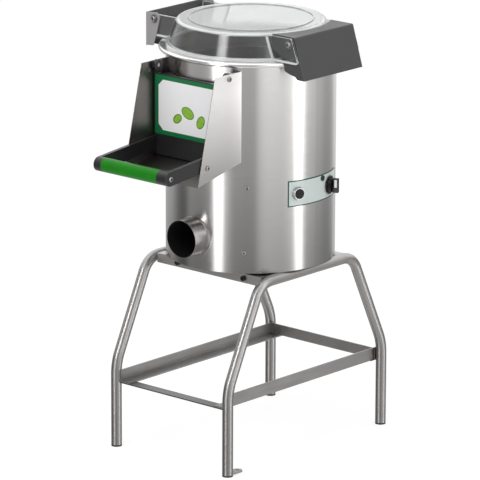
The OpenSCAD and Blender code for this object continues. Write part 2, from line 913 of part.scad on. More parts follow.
module pan_floor() {
    color("silver") difference() {
        union() {
            translate([0, 0, pan_z]) cylinder(r = bore_r, h = pan_t);
            at_pan_screws() screw_tab(pan_tab_h / 2 + pan_t);
        }
        at_pan_screws() radial_hole(casing_screw_r);
        translate([0, 0, pan_z - 1]) cylinder(r = housing_r, h = pan_t + 2);
        translate([0, -drain_y, pan_z - 1]) cylinder(r = pipe_r - pipe_wall, h = pan_t + 2);
        at_housing_bolts() translate([0, 0, pan_z - 1])
            cylinder(r = housing_bolt_r, h = pan_t + 2);
    }
}

module elbow_solid(r, mouth, top) {
    pipe_run(r, drain_y, mouth);
    translate([0, -drain_y, pipe_z]) {
        sphere(r = r);
        cylinder(r = r, h = top - pipe_z);
    }
}

module drain_elbow() {
    color("lightgray") difference() {
        union() {
            elbow_solid(neck_r, pipe_reach, pan_z);
            pipe_run(pipe_r, drum_r + weld_h / 2, pipe_reach);
            difference() {
                pipe_run(pipe_r + weld_h, drum_r - 2 * weld_h - neck_step, drum_r + weld_h);
                drum_blank(drum_r);
            }
        }
        elbow_solid(pipe_r - pipe_wall, pipe_reach + 1, pan_z + 1);
    }
}

// ---------- Chute ----------
module chute_side() {
    back = drum_r / 2;
    polygon([[-back, chute_top_z], [-chute_top_y, chute_top_z], [-chute_lip_y, chute_lip_z],
        [-back, chute_floor_z(back)]]);
}

module chute_floor_strip() {
    back = drum_r / 2;
    rise = sheet_t / cos(chute_slope);
    polygon([[-back, chute_floor_z(back)], [-chute_lip_y, chute_lip_z],
        [-chute_lip_y, chute_lip_z + rise], [-back, chute_floor_z(back) + rise]]);
}

module at_pivot_screws() {
    both_x() translate([chute_half_w, -door_hinge_y, door_hinge_z]) rotate([0, 90, 0]) children();
}

module at_stop_screws() {
    both_x() translate([chute_half_w, -stop_screw_y, chute_floor_z(stop_screw_y) + stop_screw_rise])
        rotate([0, 90, 0]) children();
}

module chute() {
    color("lightgray") difference() {
        union() {
            both_x() yz_plate(chute_in, sheet_t) chute_side();
            yz_plate(-chute_half_w, 2 * chute_half_w) chute_floor_strip();
        }
        drum_blank(drum_r);
        at_pivot_screws() translate([0, 0, -10]) cylinder(d = pivot_screw_d, h = 20);
        at_stop_screws() translate([0, 0, -10]) cylinder(d = pivot_screw_d, h = 20);
    }
}

module chute_screws() {
    color("silver") {
        at_pivot_screws() {
            cylinder(d = 1.6 * pivot_screw_d, h = screw_head_t);
            translate([0, 0, -sheet_t - door_side_gap - arm_t])
                cylinder(d = pivot_screw_d, h = sheet_t + door_side_gap + arm_t);
        }
        at_stop_screws() {
            cylinder(d = 1.4 * pivot_screw_d, h = screw_head_t);
            translate([0, 0, -sheet_t - door_side_gap / 2])
                cylinder(d = pivot_screw_d, h = sheet_t + door_side_gap / 2);
        }
    }
}

// ---------- Door ----------
module door_arm_side() {
    root_y = door_front_y - 1;
    polygon([[-root_y, handle_z - handle_r + arm_rise], [-handle_y, handle_z - handle_r],
        [-handle_y, handle_z + handle_r], [-root_y, handle_z + handle_r + arm_rise]]);
}

module handle_section(r) {
    intersection() {
        translate([-handle_y, handle_z]) circle(r = r);
        translate([-handle_y - 2 * r, handle_z - r]) square([2 * r + handle_back, 2 * r]);
    }
}

module at_handle_screws() {
    both_x() translate([door_half_w, -handle_y, handle_z]) rotate([0, 90, 0]) children();
}

module door_panel() {
    color("dimgray") difference() {
        union() {
            translate([-door_half_w, -door_front_y, door_low_z])
                cube([2 * door_half_w, door_t, door_h]);
            both_x() {
                yz_plate(door_half_w - arm_t, arm_t) door_arm_side();
                translate([door_half_w - arm_t, -door_hinge_y, door_hinge_z])
                    rotate([0, 90, 0]) cylinder(r = door_lug_r, h = arm_t);
                translate([door_half_w - arm_t, -door_front_y, door_top_z - 1])
                    cube([arm_t, door_t, door_top_drop]);
            }
            yz_plate(-door_half_w, 2 * door_half_w) handle_section(handle_r);
        }
        x_bar(pivot_screw_d / 2 + bolt_fit, 3 * door_half_w, -door_hinge_y, door_hinge_z);
        at_handle_screws() translate([0, 0, -handle_screw_l])
            cylinder(r = handle_screw_r, h = handle_screw_l + 1);
        yz_plate(sleeve_from, sleeve_l) sleeve_section();
    }
}

module door_label() {
    color("honeydew") translate([-label_w / 2, -door_front_y - label_t, label_top_z - label_h])
        cube([label_w, label_t, label_h]);
}

module door_gasket() {
    depth = door_back_y - drum_r / 2;
    color("black") difference() {
        translate([-gasket_half_w, -door_back_y, gasket_low_z])
            cube([2 * gasket_half_w, depth, gasket_top_z - gasket_low_z]);
        translate([gasket_w - gasket_half_w, -door_back_y - 1, gasket_low_z + gasket_w])
            cube([2 * (gasket_half_w - gasket_w), depth + 2,
                gasket_top_z - gasket_low_z - 2 * gasket_w]);
        drum_blank(drum_r + gasket_gap);
    }
}

module sleeve_section() {
    difference() {
        handle_section(handle_r);
        handle_section(handle_r - sleeve_t);
    }
}

module handle_sleeve() {
    color("green") yz_plate(sleeve_from, sleeve_l) sleeve_section();
}

module handle_screws() {
    color("silver") at_handle_screws() {
        cylinder(r = 2 * handle_screw_r, h = handle_head_t);
        translate([0, 0, -handle_screw_l]) cylinder(r = handle_screw_r, h = handle_screw_l);
    }
}

// ---------- Hinge bracket ----------
module cheek_outline() {
    polygon(rounded(
        [[bracket_x, hinge_z + bracket_high], [hinge_x - 9, hinge_z + bracket_high + 2.5],
            [hinge_x - 17.5, hinge_z + 4.5], [hinge_x - 4.5, hinge_z - 39.5],
            [hinge_x + 3.5, hinge_z - bracket_low + 2.5], [bracket_x, hinge_z - bracket_low + 1]],
        [0, 6, 6, 0, 4, 0]));
}

module at_pivots(x, z) {
    both_y() translate([x, 0, z]) rotate([-90, 0, 0]) children();
}

module hinge_bracket() {
    color("dimgray") difference() {
        mirror([1, 0, 0]) {
            both_y() xz_plate(cheek_y, bracket_t) cheek_outline();
            translate([bracket_x - bracket_t, -bracket_out_y, hinge_z - bracket_low])
                cube([bracket_t, 2 * bracket_out_y, bracket_low + bracket_high]);
        }
        at_pivots(-hinge_x, hinge_z) cylinder(d = bolt_d, h = 2 * bracket_out_y);
    }
}

module hinge_blocks() {
    color("black") difference() {
        mirror([1, 0, 0]) both_y()
            translate([drum_r / 2, block_y, rim_z - block_drop - block_h])
                cube([bracket_x - bracket_t - drum_r / 2, block_w, block_h]);
        drum_blank(drum_r);
    }
}

module pivot_nut(y) {
    translate([0, 0, y - nut_t]) cylinder(d = 1.7 * bolt_d, h = nut_t, $fn = 6);
}

module hinge_bolts() {
    color("silver") at_pivots(-hinge_x, hinge_z) {
        pivot_nut(hinge_ear_y - cover_gap);
        translate([0, 0, hinge_ear_y - cover_gap])
            cylinder(d = bolt_d, h = bracket_out_y - hinge_ear_y + cover_gap);
        translate([0, 0, bracket_out_y]) {
            cylinder(r = washer_r, h = washer_t);
            cylinder(d = 1.6 * bolt_d, h = washer_t + bolt_head_t);
        }
    }
}

// ---------- Controls ----------
module control_plate() {
    color("mintcream") difference() {
        rotate([0, 0, control_a1]) rotate_extrude(angle = control_a2 - control_a1)
            translate([drum_r + plate_film, control_z - control_h / 2])
                square([control_t - plate_film, control_h]);
        on_drum(button_a, control_z) radial_hole(barrel_r);
        on_drum(timer_a, timer_z) radial_hole(timer_bush_r);
        on_drum(lamp_a, control_z + lamp_rise) radial_hole(lamp_barrel_r);
    }
}

module button_switch() {
    front = control_t + bezel_h;
    color("silver") on_drum(button_a, control_z) difference() {
        union() {
            translate([0, 0, control_t])
                cylinder(r1 = bezel_d / 2, r2 = barrel_r + bezel_edge, h = bezel_h);
            translate([0, 0, -switch_depth]) cylinder(r = barrel_r, h = switch_depth + front);
            translate([0, 0, -wall_seat(bezel_d / 2) - nut_t]) cylinder(d = bezel_d, h = nut_t);
        }
        translate([0, 0, front + button_rise - button_l - button_travel - 1])
            cylinder(d = button_d + 2 * button_fit, h = button_l + button_travel + 2);
    }
}

module start_button() {
    color("black") on_drum(button_a, control_z)
        translate([0, 0, control_t + bezel_h + button_rise - button_l])
            cylinder(d = button_d, h = button_l);
}

// Depth behind the drum's surface at which a flat piece of half width w clears its inside
function wall_seat(w) = drum_r - sqrt(pow(bore_r, 2) - pow(w, 2)) + 0.1;

module timer_body() {
    seat = wall_seat(timer_w / 2);
    color("ivory") on_drum(timer_a, timer_z) difference() {
        union() {
            translate([-timer_w / 2, -timer_w / 2, -seat - timer_depth])
                cube([timer_w, timer_w, timer_depth]);
            translate([0, 0, -seat]) cylinder(r = timer_bush_r, h = seat + control_t + bush_out);
        }
        translate([0, 0, -seat - timer_shaft_l])
            cylinder(d = timer_shaft_d + 2 * timer_fit, h = seat + timer_shaft_l + 10);
    }
}

module timer_knob() {
    base = control_t + bush_out + 0.5;
    body_r = knob_d / 2 - knob_flange_rim;
    color("black") on_drum(timer_a, timer_z) {
        translate([0, 0, base]) rotate_extrude() polygon(
            [[0, 0], [knob_d / 2, 0], [knob_d / 2, knob_flange_t], [body_r, knob_flange_t],
                [body_r - knob_taper, knob_flange_t + knob_body_h],
                [0, knob_flange_t + knob_body_h]]);
        translate([0, 0, base]) intersection() {
            cylinder(r = body_r, h = knob_flange_t + knob_grip_h);
            translate([-knob_d / 2, -knob_grip_w / 2, 0])
                cube([knob_d, knob_grip_w, knob_flange_t + knob_grip_h]);
        }
        translate([0, 0, 1 - wall_seat(timer_w / 2) - timer_shaft_l])
            cylinder(d = timer_shaft_d, h = base + wall_seat(timer_w / 2) + timer_shaft_l - 1);
    }
}

module pilot_lamp() {
    color("orange") on_drum(lamp_a, control_z + lamp_rise) {
        translate([0, 0, control_t]) cylinder(d = lamp_d, h = lamp_out);
        translate([0, 0, -lamp_depth]) cylinder(r = lamp_barrel_r, h = lamp_depth + control_t);
        translate([0, 0, -lamp_depth])
            cylinder(r = lamp_barrel_r + 2, h = lamp_depth - wall_seat(lamp_barrel_r + 2));
    }
}

module lid_switch() {
    color("black") difference() {
        translate([drum_r / 2, -lid_switch_w / 2, rim_z - block_drop - lid_switch_h])
            cube([switch_x - drum_r / 2, lid_switch_w, lid_switch_h]);
        drum_blank(drum_r);
    }
}

// Frame of the latch cover's sloping face: origin at its lower edge, +X outward
module on_cover_face() {
    translate([cover_foot_x, 0, cover_foot_z]) rotate([0, -cover_lean, 0]) children();
}

module latch_magnet() {
    color("gray") on_cover_face() translate([-cover_t - magnet_t, -magnet_w / 2, magnet_rise])
        cube([magnet_t, magnet_w, magnet_l]);
}

module door_switch() {
    color("black")
        translate([-chute_half_w - door_switch_t, -chute_root_y - door_switch_gap - door_switch_w,
            door_switch_z])
            cube([door_switch_t, door_switch_w, door_switch_h]);
}

module cable_gland() {
    color("black") on_drum(gland_a, gland_z) difference() {
        union() {
            cylinder(r = gland_hex_r, h = gland_hex_h, $fn = 6);
            translate([0, 0, -gland_in]) cylinder(r = gland_r, h = gland_in + gland_out);
            translate([0, 0, -wall_seat(gland_hex_r) - gland_nut_h])
                cylinder(r = gland_hex_r, h = gland_nut_h, $fn = 6);
        }
        translate([0, 0, -gland_in - 1])
            cylinder(r = gland_bore_r, h = gland_in + gland_out + 2);
    }
}

module water_inlet() {
    spout_at = spout_r - inlet_in;
    color("goldenrod") on_drum(inlet_a, inlet_z) difference() {
        union() {
            cylinder(r = inlet_hex_r, h = inlet_hex_h, $fn = 6);
            translate([0, 0, -inlet_in]) cylinder(r = inlet_neck_r, h = inlet_in + inlet_out);
            translate([0, 0, inlet_hex_h / 2])
                cylinder(r = inlet_r, h = inlet_out - inlet_hex_h / 2);
            translate([0, 0, spout_at]) rotate([0, 90, 0]) cylinder(r = spout_r, h = spout_l);
        }
        translate([0, 0, spout_at]) cylinder(r = inlet_bore_r, h = inlet_in + inlet_out);
        translate([0, 0, spout_at]) rotate([0, 90, 0])
            cylinder(r = spout_bore_r, h = spout_l + 1);
    }
}

// ---------- Drive ----------
// Tab inside the drum's wall round a screw, from half a tab away from its plate to `reach`
module screw_tab(reach) {
    translate([-reach, -drive_tab_w / 2, -wall_seat(drive_tab_w / 2) - drive_tab_t])
        cube([reach + drive_tab_h / 2, drive_tab_w, drive_tab_t]);
}

module drive_plate() {
    color("silver") difference() {
        union() {
            translate([0, 0, drive_plate_z])
                cylinder(r = bore_r - drive_plate_gap, h = drive_plate_t);
            at_casing_screws() mirror([1, 0, 0]) screw_tab(drive_tab_h / 2 + drive_plate_t);
        }
        translate([0, 0, drive_plate_z - 1]) {
            cylinder(r = spindle_r + spindle_gap, h = drive_plate_t + 2);
            translate(motor_at)
                cylinder(r = motor_shaft_d / 2 + shaft_gap, h = drive_plate_t + 2);
            translate([-pipe_r - pipe_gap, -drum_r, 0])
                cube([pipe_d + 2 * pipe_gap, drum_r - drain_y + pipe_r + pipe_gap, drive_plate_t + 2]);
        }
        at_casing_screws() radial_hole(casing_screw_r);
    }
}

module electrics_tray() {
    color("silver") translate([tray_x, -tray_half_w, drive_top_z]) {
        translate([-tray_foot, 0, 0]) cube([tray_foot + tray_t, 2 * tray_half_w, tray_t]);
        cube([tray_t, 2 * tray_half_w, tray_h]);
    }
}

module contactor() {
    nose_w = contactor_w - 2 * contactor_step;
    color("ivory") translate([tray_x + tray_t, 8 - tray_half_w, drive_top_z + 18]) {
        cube([contactor_t, contactor_w, contactor_h]);
        translate([contactor_t, contactor_step, 14]) cube([12, nose_w, contactor_h - 28]);
    }
}

module terminal_block() {
    color("white") translate([tray_x + tray_t, 6, drive_top_z + 24]) difference() {
        cube([terminal_t, terminal_n * terminal_pitch, terminal_h]);
        for (i = [0:terminal_n - 1])
            translate([terminal_t / 2, (i + 0.5) * terminal_pitch, terminal_h / 2])
                rotate([0, 90, 0]) cylinder(r = terminal_hole_r, h = terminal_t);
    }
}

module motor_capacitor() {
    color("silver") translate(concat(capacitor_at, drive_top_z)) {
        cylinder(r = capacitor_r, h = capacitor_h);
        for (s = [-1, 1]) translate([0.4 * s * capacitor_r, 0, capacitor_h - 1])
            cylinder(r = capacitor_r / 10, h = capacitor_r / 2 + 1);
    }
}

module at_housing_bolts() {
    for (i = [0:housing_bolt_n - 1]) rotate([0, 0, (i + 0.5) * 360 / housing_bolt_n])
        translate([housing_bolt_ring, 0, 0]) children();
}

module bearing_housing() {
    seat_r = bearing_d / 2;
    color("gray") difference() {
        union() {
            translate([0, 0, housing_low_z])
                cylinder(r = housing_r, h = collar_top_z - housing_low_z);
            translate([0, 0, pan_z - flange_t]) cylinder(d = housing_flange_d, h = flange_t);
        }
        translate([0, 0, housing_low_z - 1])
            cylinder(r = seat_r - bearing_step, h = collar_top_z - housing_low_z + 2);
        translate([0, 0, housing_low_z - 1]) cylinder(r = seat_r, h = bearing_w + 1);
        translate([0, 0, pan_z - bearing_w])
            cylinder(r = seat_r, h = collar_top_z - pan_z + bearing_w + 1);
        at_housing_bolts() translate([0, 0, pan_z - flange_t - 1])
            cylinder(r = housing_bolt_r, h = flange_t + 2);
    }
}

module casing_screw() {
    shank = drive_tab_t + casing_screw_past + wall_seat(drive_tab_w / 2);
    cylinder(r = 2 * casing_screw_r, h = screw_head_t);
    translate([0, 0, -shank]) cylinder(r = casing_screw_r, h = shank);
}

module casing_screws() {
    color("silver") {
        at_casing_screws() casing_screw();
        at_pan_screws() casing_screw();
        at_housing_bolts() translate([0, 0, pan_z - flange_t]) {
            cylinder(r = housing_bolt_r, h = flange_t + pan_t + bolt_head_t);
            translate([0, 0, flange_t + pan_t])
                cylinder(r = 1.6 * housing_bolt_r, h = bolt_head_t);
        }
    }
}

module spindle_bearings() {
    color("silver") for (z = [housing_low_z, pan_z - bearing_w])
        translate([0, 0, z]) ring(bearing_d / 2, spindle_r + bearing_fit, bearing_w);
}

module lip_seal() {
    color("black") translate([0, 0, collar_top_z - lip_seal_t])
        ring(bearing_d / 2, spindle_r + lip_gap, lip_seal_t);
}

module spindle_shaft() {
    low = pulley_z - 2;
    color("silver") translate([0, 0, low])
        cylinder(r = spindle_r, h = disc_top_z + spindle_out - low);
}

module pulley(r, bore) {
    ring(r, bore, pulley_h);
    ring(r + pulley_lip, bore, pulley_flange_t);
    translate([0, 0, pulley_h - pulley_flange_t]) ring(r + pulley_lip, bore, pulley_flange_t);
}

module driven_pulley() {
    rim_t = 9;
    web_t = 6;
    recess = (pulley_h - web_t) / 2 + 1;
    color("gray") translate([0, 0, pulley_z]) difference() {
        pulley(driven_d / 2, spindle_r);
        for (z = [-1, (pulley_h + web_t) / 2])
            translate([0, 0, z]) ring(driven_d / 2 - rim_t, spindle_r + rim_t, recess);
    }
}

module motor_pulley() {
    color("gray") translate([motor_x, motor_y, pulley_z]) pulley(driver_d / 2, motor_shaft_d / 2);
}

// Loop round both pulleys, grown outward by t
function belt_arc(centre, r, from, to) =
    [for (i = [0:belt_steps]) let (a = from + (to - from) * i / belt_steps)
        centre + r * [cos(a), sin(a)]];

// The loop's outline: round the driven pulley one way and round the driver back
module belt_outline(t) {
    r0 = driven_d / 2 + belt_slack + t;
    r1 = driver_d / 2 + belt_slack + t;
    line = atan2(motor_y, motor_x);
    wrap = acos((r0 - r1) / norm(motor_at));
    polygon(concat(belt_arc([0, 0], r0, line + wrap, line + 360 - wrap),
        belt_arc(motor_at, r1, line - wrap, line + wrap)));
}

module drive_belt() {
    color("black") translate([0, 0, pulley_z + pulley_flange_t + belt_slack])
        linear_extrude(belt_w) difference() {
            belt_outline(belt_t);
            belt_outline(0);
        }
}

module motor_case() {
    color("slategray") translate([motor_x, motor_y, drive_top_z]) difference() {
        cylinder(d = motor_d, h = motor_h);
        translate([0, 0, case_end_t])
            cylinder(r = rotor_d / 2 + 1, h = motor_h - 2 * case_end_t);
        translate([0, 0, -1])
            cylinder(r = motor_shaft_d / 2 + bearing_fit, h = motor_h - case_end_t / 2);
        for (i = [0:case_slot_n - 1]) translate([0, 0, 2 * case_end_t + 2 * case_slot_w * i])
            ring(motor_d / 2 + 1, motor_d / 2 - case_slot_w + 1, case_slot_w);
    }
}

module motor_rotor() {
    low = pulley_z - 1;
    color("silver") translate([motor_x, motor_y, low]) {
        cylinder(d = motor_shaft_d, h = motor_top_z - case_end_t / 2 - 5 - low);
        translate([0, 0, drive_top_z + 2 * case_end_t - low])
            cylinder(d = rotor_d, h = motor_h - 4 * case_end_t);
    }
}

module abrasive_disc() {
    blade_from = housing_flange_d / 2;
    color("silver") difference() {
        union() {
            translate([0, 0, disc_low_z]) cylinder(r = disc_r, h = disc_t);
            translate([0, 0, collar_top_z + hub_gap])
                cylinder(r = skirt_r + skirt_t, h = disc_low_z - collar_top_z - hub_gap);
            translate([0, 0, pan_top_z + skirt_gap])
                ring(skirt_r + skirt_t, skirt_r, collar_top_z - pan_top_z - skirt_gap + hub_gap);
            for (a = [0, 180]) rotate([0, 0, a])
                translate([blade_from, -blade_t / 2, pan_top_z + blade_gap])
                    cube([disc_r - blade_inset - blade_from, blade_t, disc_clear - blade_gap]);
        }
        translate([0, 0, pan_top_z]) cylinder(r = spindle_r, h = disc_clear + disc_t + 1);
    }
}

module disc_coat() {
    ridge_r = 14;
    ridge_in = 16;
    ridge_out = 10;
    inner = disc_knob_d / 2;
    color("dimgray") translate([0, 0, disc_top_z]) {
        ring(disc_r, inner, coat_t);
        for (a = [30, 150, 270]) rotate([0, 0, a]) intersection() {
            translate([inner + ridge_in, 0, coat_t + ridge_h - ridge_r]) rotate([0, 90, 0])
                cylinder(r = ridge_r, h = disc_r - inner - ridge_in - ridge_out);
            translate([0, -ridge_r, 0]) cube([disc_r, 2 * ridge_r, coat_t + ridge_h]);
        }
    }
}

module disc_knob() {
    r = disc_knob_d / 2;
    h = spindle_out + 10;
    color("silver") translate([0, 0, disc_top_z]) difference() {
        rotate_extrude() polygon(rounded(
            [[0, 0], [r - TINY, 0], [r - TINY, h / 2], [r / 2, h], [0, h]],
            [0, 0, 4, 6, 0]));
        translate([0, 0, -1]) cylinder(r = spindle_r, h = spindle_out + 1);
    }
}

// ---------- Lid ----------
// Side wall and top corner of the lid, moved inward by off, from the height z0 up
function lid_line(off, z0) =
    let (r = lid_corner_r - off, s = [lid_shoulder_r + r * cos(lid_draft),
        lid_corner_z + r * sin(lid_draft)])
    concat([[s.x + (s.y - z0) * tan(lid_draft), z0]],
        [for (i = [0:8]) let (a = lid_draft + (90 - lid_draft) * i / 8)
            [lid_shoulder_r + r * cos(a), lid_corner_z + r * sin(a)]]);

module lid_solid(off, z0) {
    rotate_extrude() polygon(concat([[0, z0]], lid_line(off, z0), [[0, lid_top_z - off]]));
}

// Outline of one ear, from inside the dome out to the distances low_x and high_x
module ear_outline(low_x, high_x, top, r) {
    polygon(rounded(
        [[drum_r / 2, ear_low_z], [low_x, ear_low_z], [high_x, top], [drum_r / 2, top]],
        [0, 6, r, 0]));
}

module lid_dome() {
    color("azure", 0.35) difference() {
        union() {
            lid_solid(0, lid_z);
            translate([0, 0, lid_z]) ring(drum_r, drum_r / 2, lid_foot_t);
            translate([0, 0, lid_top_z]) rotate_extrude() polygon(
                [[lid_bead_r - lid_bead_h, -lid_t / 2], [lid_bead_r + lid_bead_h, -lid_t / 2],
                    [lid_bead_r + lid_bead_h, 0], [lid_bead_r + lid_bead_h / 2, lid_bead_h],
                    [lid_bead_r - lid_bead_h / 2, lid_bead_h], [lid_bead_r - lid_bead_h, 0]]);
            both_y() {
                xz_plate(ear_y, ear_t) ear_outline(pivot_x + 27.5, pivot_x + 5.5, ear_top_z, 8);
                xz_plate(hinge_ear_y, ear_t) mirror([1, 0])
                    ear_outline(hinge_x + 18, hinge_x + 20, hinge_z + 11, 12);
            }
        }
        lid_solid(lid_t, lid_z - 1);
        at_pivots(-hinge_x, hinge_z) cylinder(r = bolt_d / 2 + bolt_fit, h = 2 * ear_out_y);
        at_pivots(pivot_x, pivot_z) cylinder(r = bolt_d / 2, h = 2 * ear_out_y);
    }
}

module latch_bolts() {
    nut_y = cover_out_y - cover_t - cover_gap;
    color("silver") at_pivots(pivot_x, pivot_z) {
        pivot_nut(nut_y);
        translate([0, 0, nut_y]) cylinder(d = bolt_d, h = ear_out_y - nut_y);
        translate([0, 0, ear_out_y]) {
            cylinder(r = washer_r, h = washer_t);
            cylinder(d = 1.6 * bolt_d, h = washer_t + bolt_head_t);
        }
    }
}

// Sheet of the latch cover: top plate, fold and sloping face
module cover_skin() {
    across = cover_t / cos(cover_lean);
    polygon(rounded(
        [[drum_r / 2, cover_top_z - cover_t], [drum_r / 2, cover_top_z],
            [cover_fold_x, cover_top_z], [cover_foot_x, cover_foot_z],
            [cover_foot_x - across, cover_foot_z],
            [cover_fold_x - across + cover_t * tan(cover_lean), cover_top_z - cover_t]],
        [0, 0, 4, 0, 0, 2]));
}

module cover_cheek() {
    nose_x = rim_edge_x + nose_gap;
    polygon(rounded(
        [[cover_fold_x, cover_top_z], [drum_r / 2, cover_top_z], [pivot_x - 34.5, pivot_z - 27.5],
            [nose_x, top_z + 3], [nose_x, cover_foot_z + 16], [pivot_x - 1.5, cover_foot_z + 10],
            [pivot_x + 14.5, cover_foot_z + 7], [pivot_x + 20.5, cover_foot_z],
            [cover_foot_x, cover_foot_z]],
        [4, 0, 0, 0, 6, 0, 4, 0, 0]));
}

module latch_cover() {
    color("dimgray") difference() {
        union() {
            xz_plate(-cover_out_y, 2 * cover_out_y) cover_skin();
            both_y() xz_plate(cover_out_y - cover_t, cover_t) cover_cheek();
        }
        drum_blank(cover_clear_r);
        at_pivots(pivot_x, pivot_z) cylinder(r = bolt_d / 2 + bolt_fit, h = 2 * ear_out_y);
    }
}

stand_left_frame();
stand_right_frame();
stand_top_plate();
ledge_angles();
front_tie_strip();
rear_stop_strip();
tube_plugs();
floor_tab();
levelling_screw();
drum_buffers();
buffer_bolts();
drum_floor();
drum_shell();
rim_ring();
lid_seal();
wall_lining();
pan_floor();
drain_elbow();
chute();
chute_screws();
casing_screws();
hinge_bracket();
hinge_blocks();
hinge_bolts();
control_plate();
button_switch();
start_button();
timer_body();
timer_knob();
pilot_lamp();
lid_switch();
latch_magnet();
door_switch();
cable_gland();
water_inlet();
drive_plate();
electrics_tray();
contactor();
terminal_block();
motor_capacitor();
bearing_housing();
spindle_bearings();
lip_seal();
spindle_shaft();
driven_pulley();
abrasive_disc();
disc_coat();
disc_knob();
motor_case();
motor_rotor();
motor_pulley();
drive_belt();
lid_dome();
latch_bolts();
latch_cover();
door_panel();
door_label();
door_gasket();
handle_sleeve();
handle_screws();
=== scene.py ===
# %% [markdown]
# # A drum potato peeler, dressed in Blender
#
# The machine is a stainless drum on a tube stand, with a clear lid, a discharge
# door and a small control plate. Its solids come from the CAD model and stay as
# they are. This lesson gives every surface its finish, adds the small things
# that a workshop adds last, the weld beads and the screw heads, and sets up a
# plain studio to look at it in.

# %% Load the CAD model
import json
import math

import bmesh
import bpy
from mathutils import Matrix, Vector

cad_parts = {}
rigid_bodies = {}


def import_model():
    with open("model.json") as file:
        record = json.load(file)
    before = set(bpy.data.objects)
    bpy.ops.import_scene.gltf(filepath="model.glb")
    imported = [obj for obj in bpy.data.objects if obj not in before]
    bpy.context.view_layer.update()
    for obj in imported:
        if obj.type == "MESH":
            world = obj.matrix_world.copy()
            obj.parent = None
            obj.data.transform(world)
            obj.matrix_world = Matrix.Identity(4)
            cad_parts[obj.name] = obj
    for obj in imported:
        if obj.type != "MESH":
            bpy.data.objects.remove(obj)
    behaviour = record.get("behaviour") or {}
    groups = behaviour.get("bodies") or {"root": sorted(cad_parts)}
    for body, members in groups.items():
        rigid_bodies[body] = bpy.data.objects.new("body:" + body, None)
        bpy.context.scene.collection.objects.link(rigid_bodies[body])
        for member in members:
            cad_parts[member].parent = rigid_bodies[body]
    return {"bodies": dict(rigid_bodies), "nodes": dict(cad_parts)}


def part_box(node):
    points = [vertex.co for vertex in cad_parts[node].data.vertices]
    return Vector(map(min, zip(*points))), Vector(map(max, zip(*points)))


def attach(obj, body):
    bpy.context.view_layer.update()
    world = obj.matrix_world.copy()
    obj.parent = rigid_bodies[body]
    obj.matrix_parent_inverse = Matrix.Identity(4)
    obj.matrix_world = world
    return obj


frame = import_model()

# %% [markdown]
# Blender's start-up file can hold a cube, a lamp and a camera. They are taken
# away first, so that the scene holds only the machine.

carried = set(frame["nodes"].values()) | set(frame["bodies"].values())
for leftover in [o for o in bpy.data.objects if o.name in ("Cube", "Light", "Camera")]:
    if leftover not in carried:
        bpy.data.objects.remove(leftover)
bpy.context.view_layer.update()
MM = 0.001

# %% [markdown]
# ## Three small helpers for node trees
#
# Hex colours are easy to read but they are in sRGB, and a shader works in linear
# light. One function turns the first into the second. Another adds a node with
# its settings, its fixed values and its links, so that each material below
# reads as a list of steps. The third follows a formula from left to right, with
# one Math node for each step, because a measure such as a distance takes many.

# %% Colour, node and formula helpers
def linear(hex_colour):
    channels = [int(hex_colour[i:i + 2], 16) / 255 for i in (1, 3, 5)]
    flat = [c / 12.92 if c <= 0.04045 else ((c + 0.055) / 1.055) ** 2.4 for c in channels]
    return (*flat, 1.0)


def put(tree, kind, settings=None, values=None, links=None):
    made = tree.nodes.new(kind)
    for name, value in (settings or {}).items():
        setattr(made, name, value)
    for socket, value in (values or {}).items():
        made.inputs[socket].default_value = value
    for socket, source in (links or {}).items():
        tree.links.new(source, made.inputs[socket])
    return made


def reckon(tree, value, *steps):
    for operation, *others in steps:
        links = {}
        numbers = {}
        for socket, given in enumerate((value, *others)):
            (numbers if isinstance(given, (int, float)) else links)[socket] = given
        value = put(tree, "ShaderNodeMath", {"operation": operation}, numbers, links).outputs[0]
    return value


print("linear mid grey:", [round(c, 3) for c in linear("#808080")[:3]])

# %% [markdown]
# ## The camera
#
# The machine is seen from its front right corner and a little from above,
# through a long lens from far away, so its upright lines stay nearly parallel.
# The camera is placed on a sphere round a target point: an azimuth, a pitch and
# a distance say where it stands, and a small roll levels the picture.

# %% Camera
AZIMUTH = math.radians(41.449)
PITCH = math.radians(15.104)
ROLL = math.radians(0.194)
DISTANCE = 10.79887
TARGET_HEIGHT = 0.480749
TARGET_SIDE = -0.024414
LENS = 342.66

level_right = Vector((math.cos(AZIMUTH), math.sin(AZIMUTH), 0))
forward = Vector((-math.sin(AZIMUTH) * math.cos(PITCH),
                  math.cos(AZIMUTH) * math.cos(PITCH),
                  -math.sin(PITCH)))
level_up = level_right.cross(forward)
right = math.cos(ROLL) * level_right + math.sin(ROLL) * level_up
up = math.cos(ROLL) * level_up - math.sin(ROLL) * level_right
target = TARGET_SIDE * level_right + Vector((0, 0, TARGET_HEIGHT))

lens = bpy.data.cameras.new("studio_camera")
lens.lens = LENS
lens.sensor_width = 36
lens.clip_start = 0.1
lens.clip_end = 100
camera = bpy.data.objects.new("studio_camera", lens)
axes = Matrix((right, up, -forward)).transposed().to_4x4()
camera.matrix_world = Matrix.Translation(target - DISTANCE * forward) @ axes
bpy.context.collection.objects.link(camera)
bpy.context.scene.camera = camera
bpy.context.scene.view_settings.view_transform = "Standard"
print("camera stands at", [round(v, 2) for v in camera.matrix_world.translation])

# %% [markdown]
# ## The studio
#
# Polished metal shows little of its own colour. What the eye reads on a steel
# drum is the room: tall soft boxes give the white stripes, and the dark gaps
# between them give the grey ones. Real soft boxes could be built from lamps
# and cards, but a ring of light and shade painted on the world does the same
# without noise.
#
# Each entry below is a direction, in degrees to the right of the camera as seen
# from the drum, and the brightness that stands there.

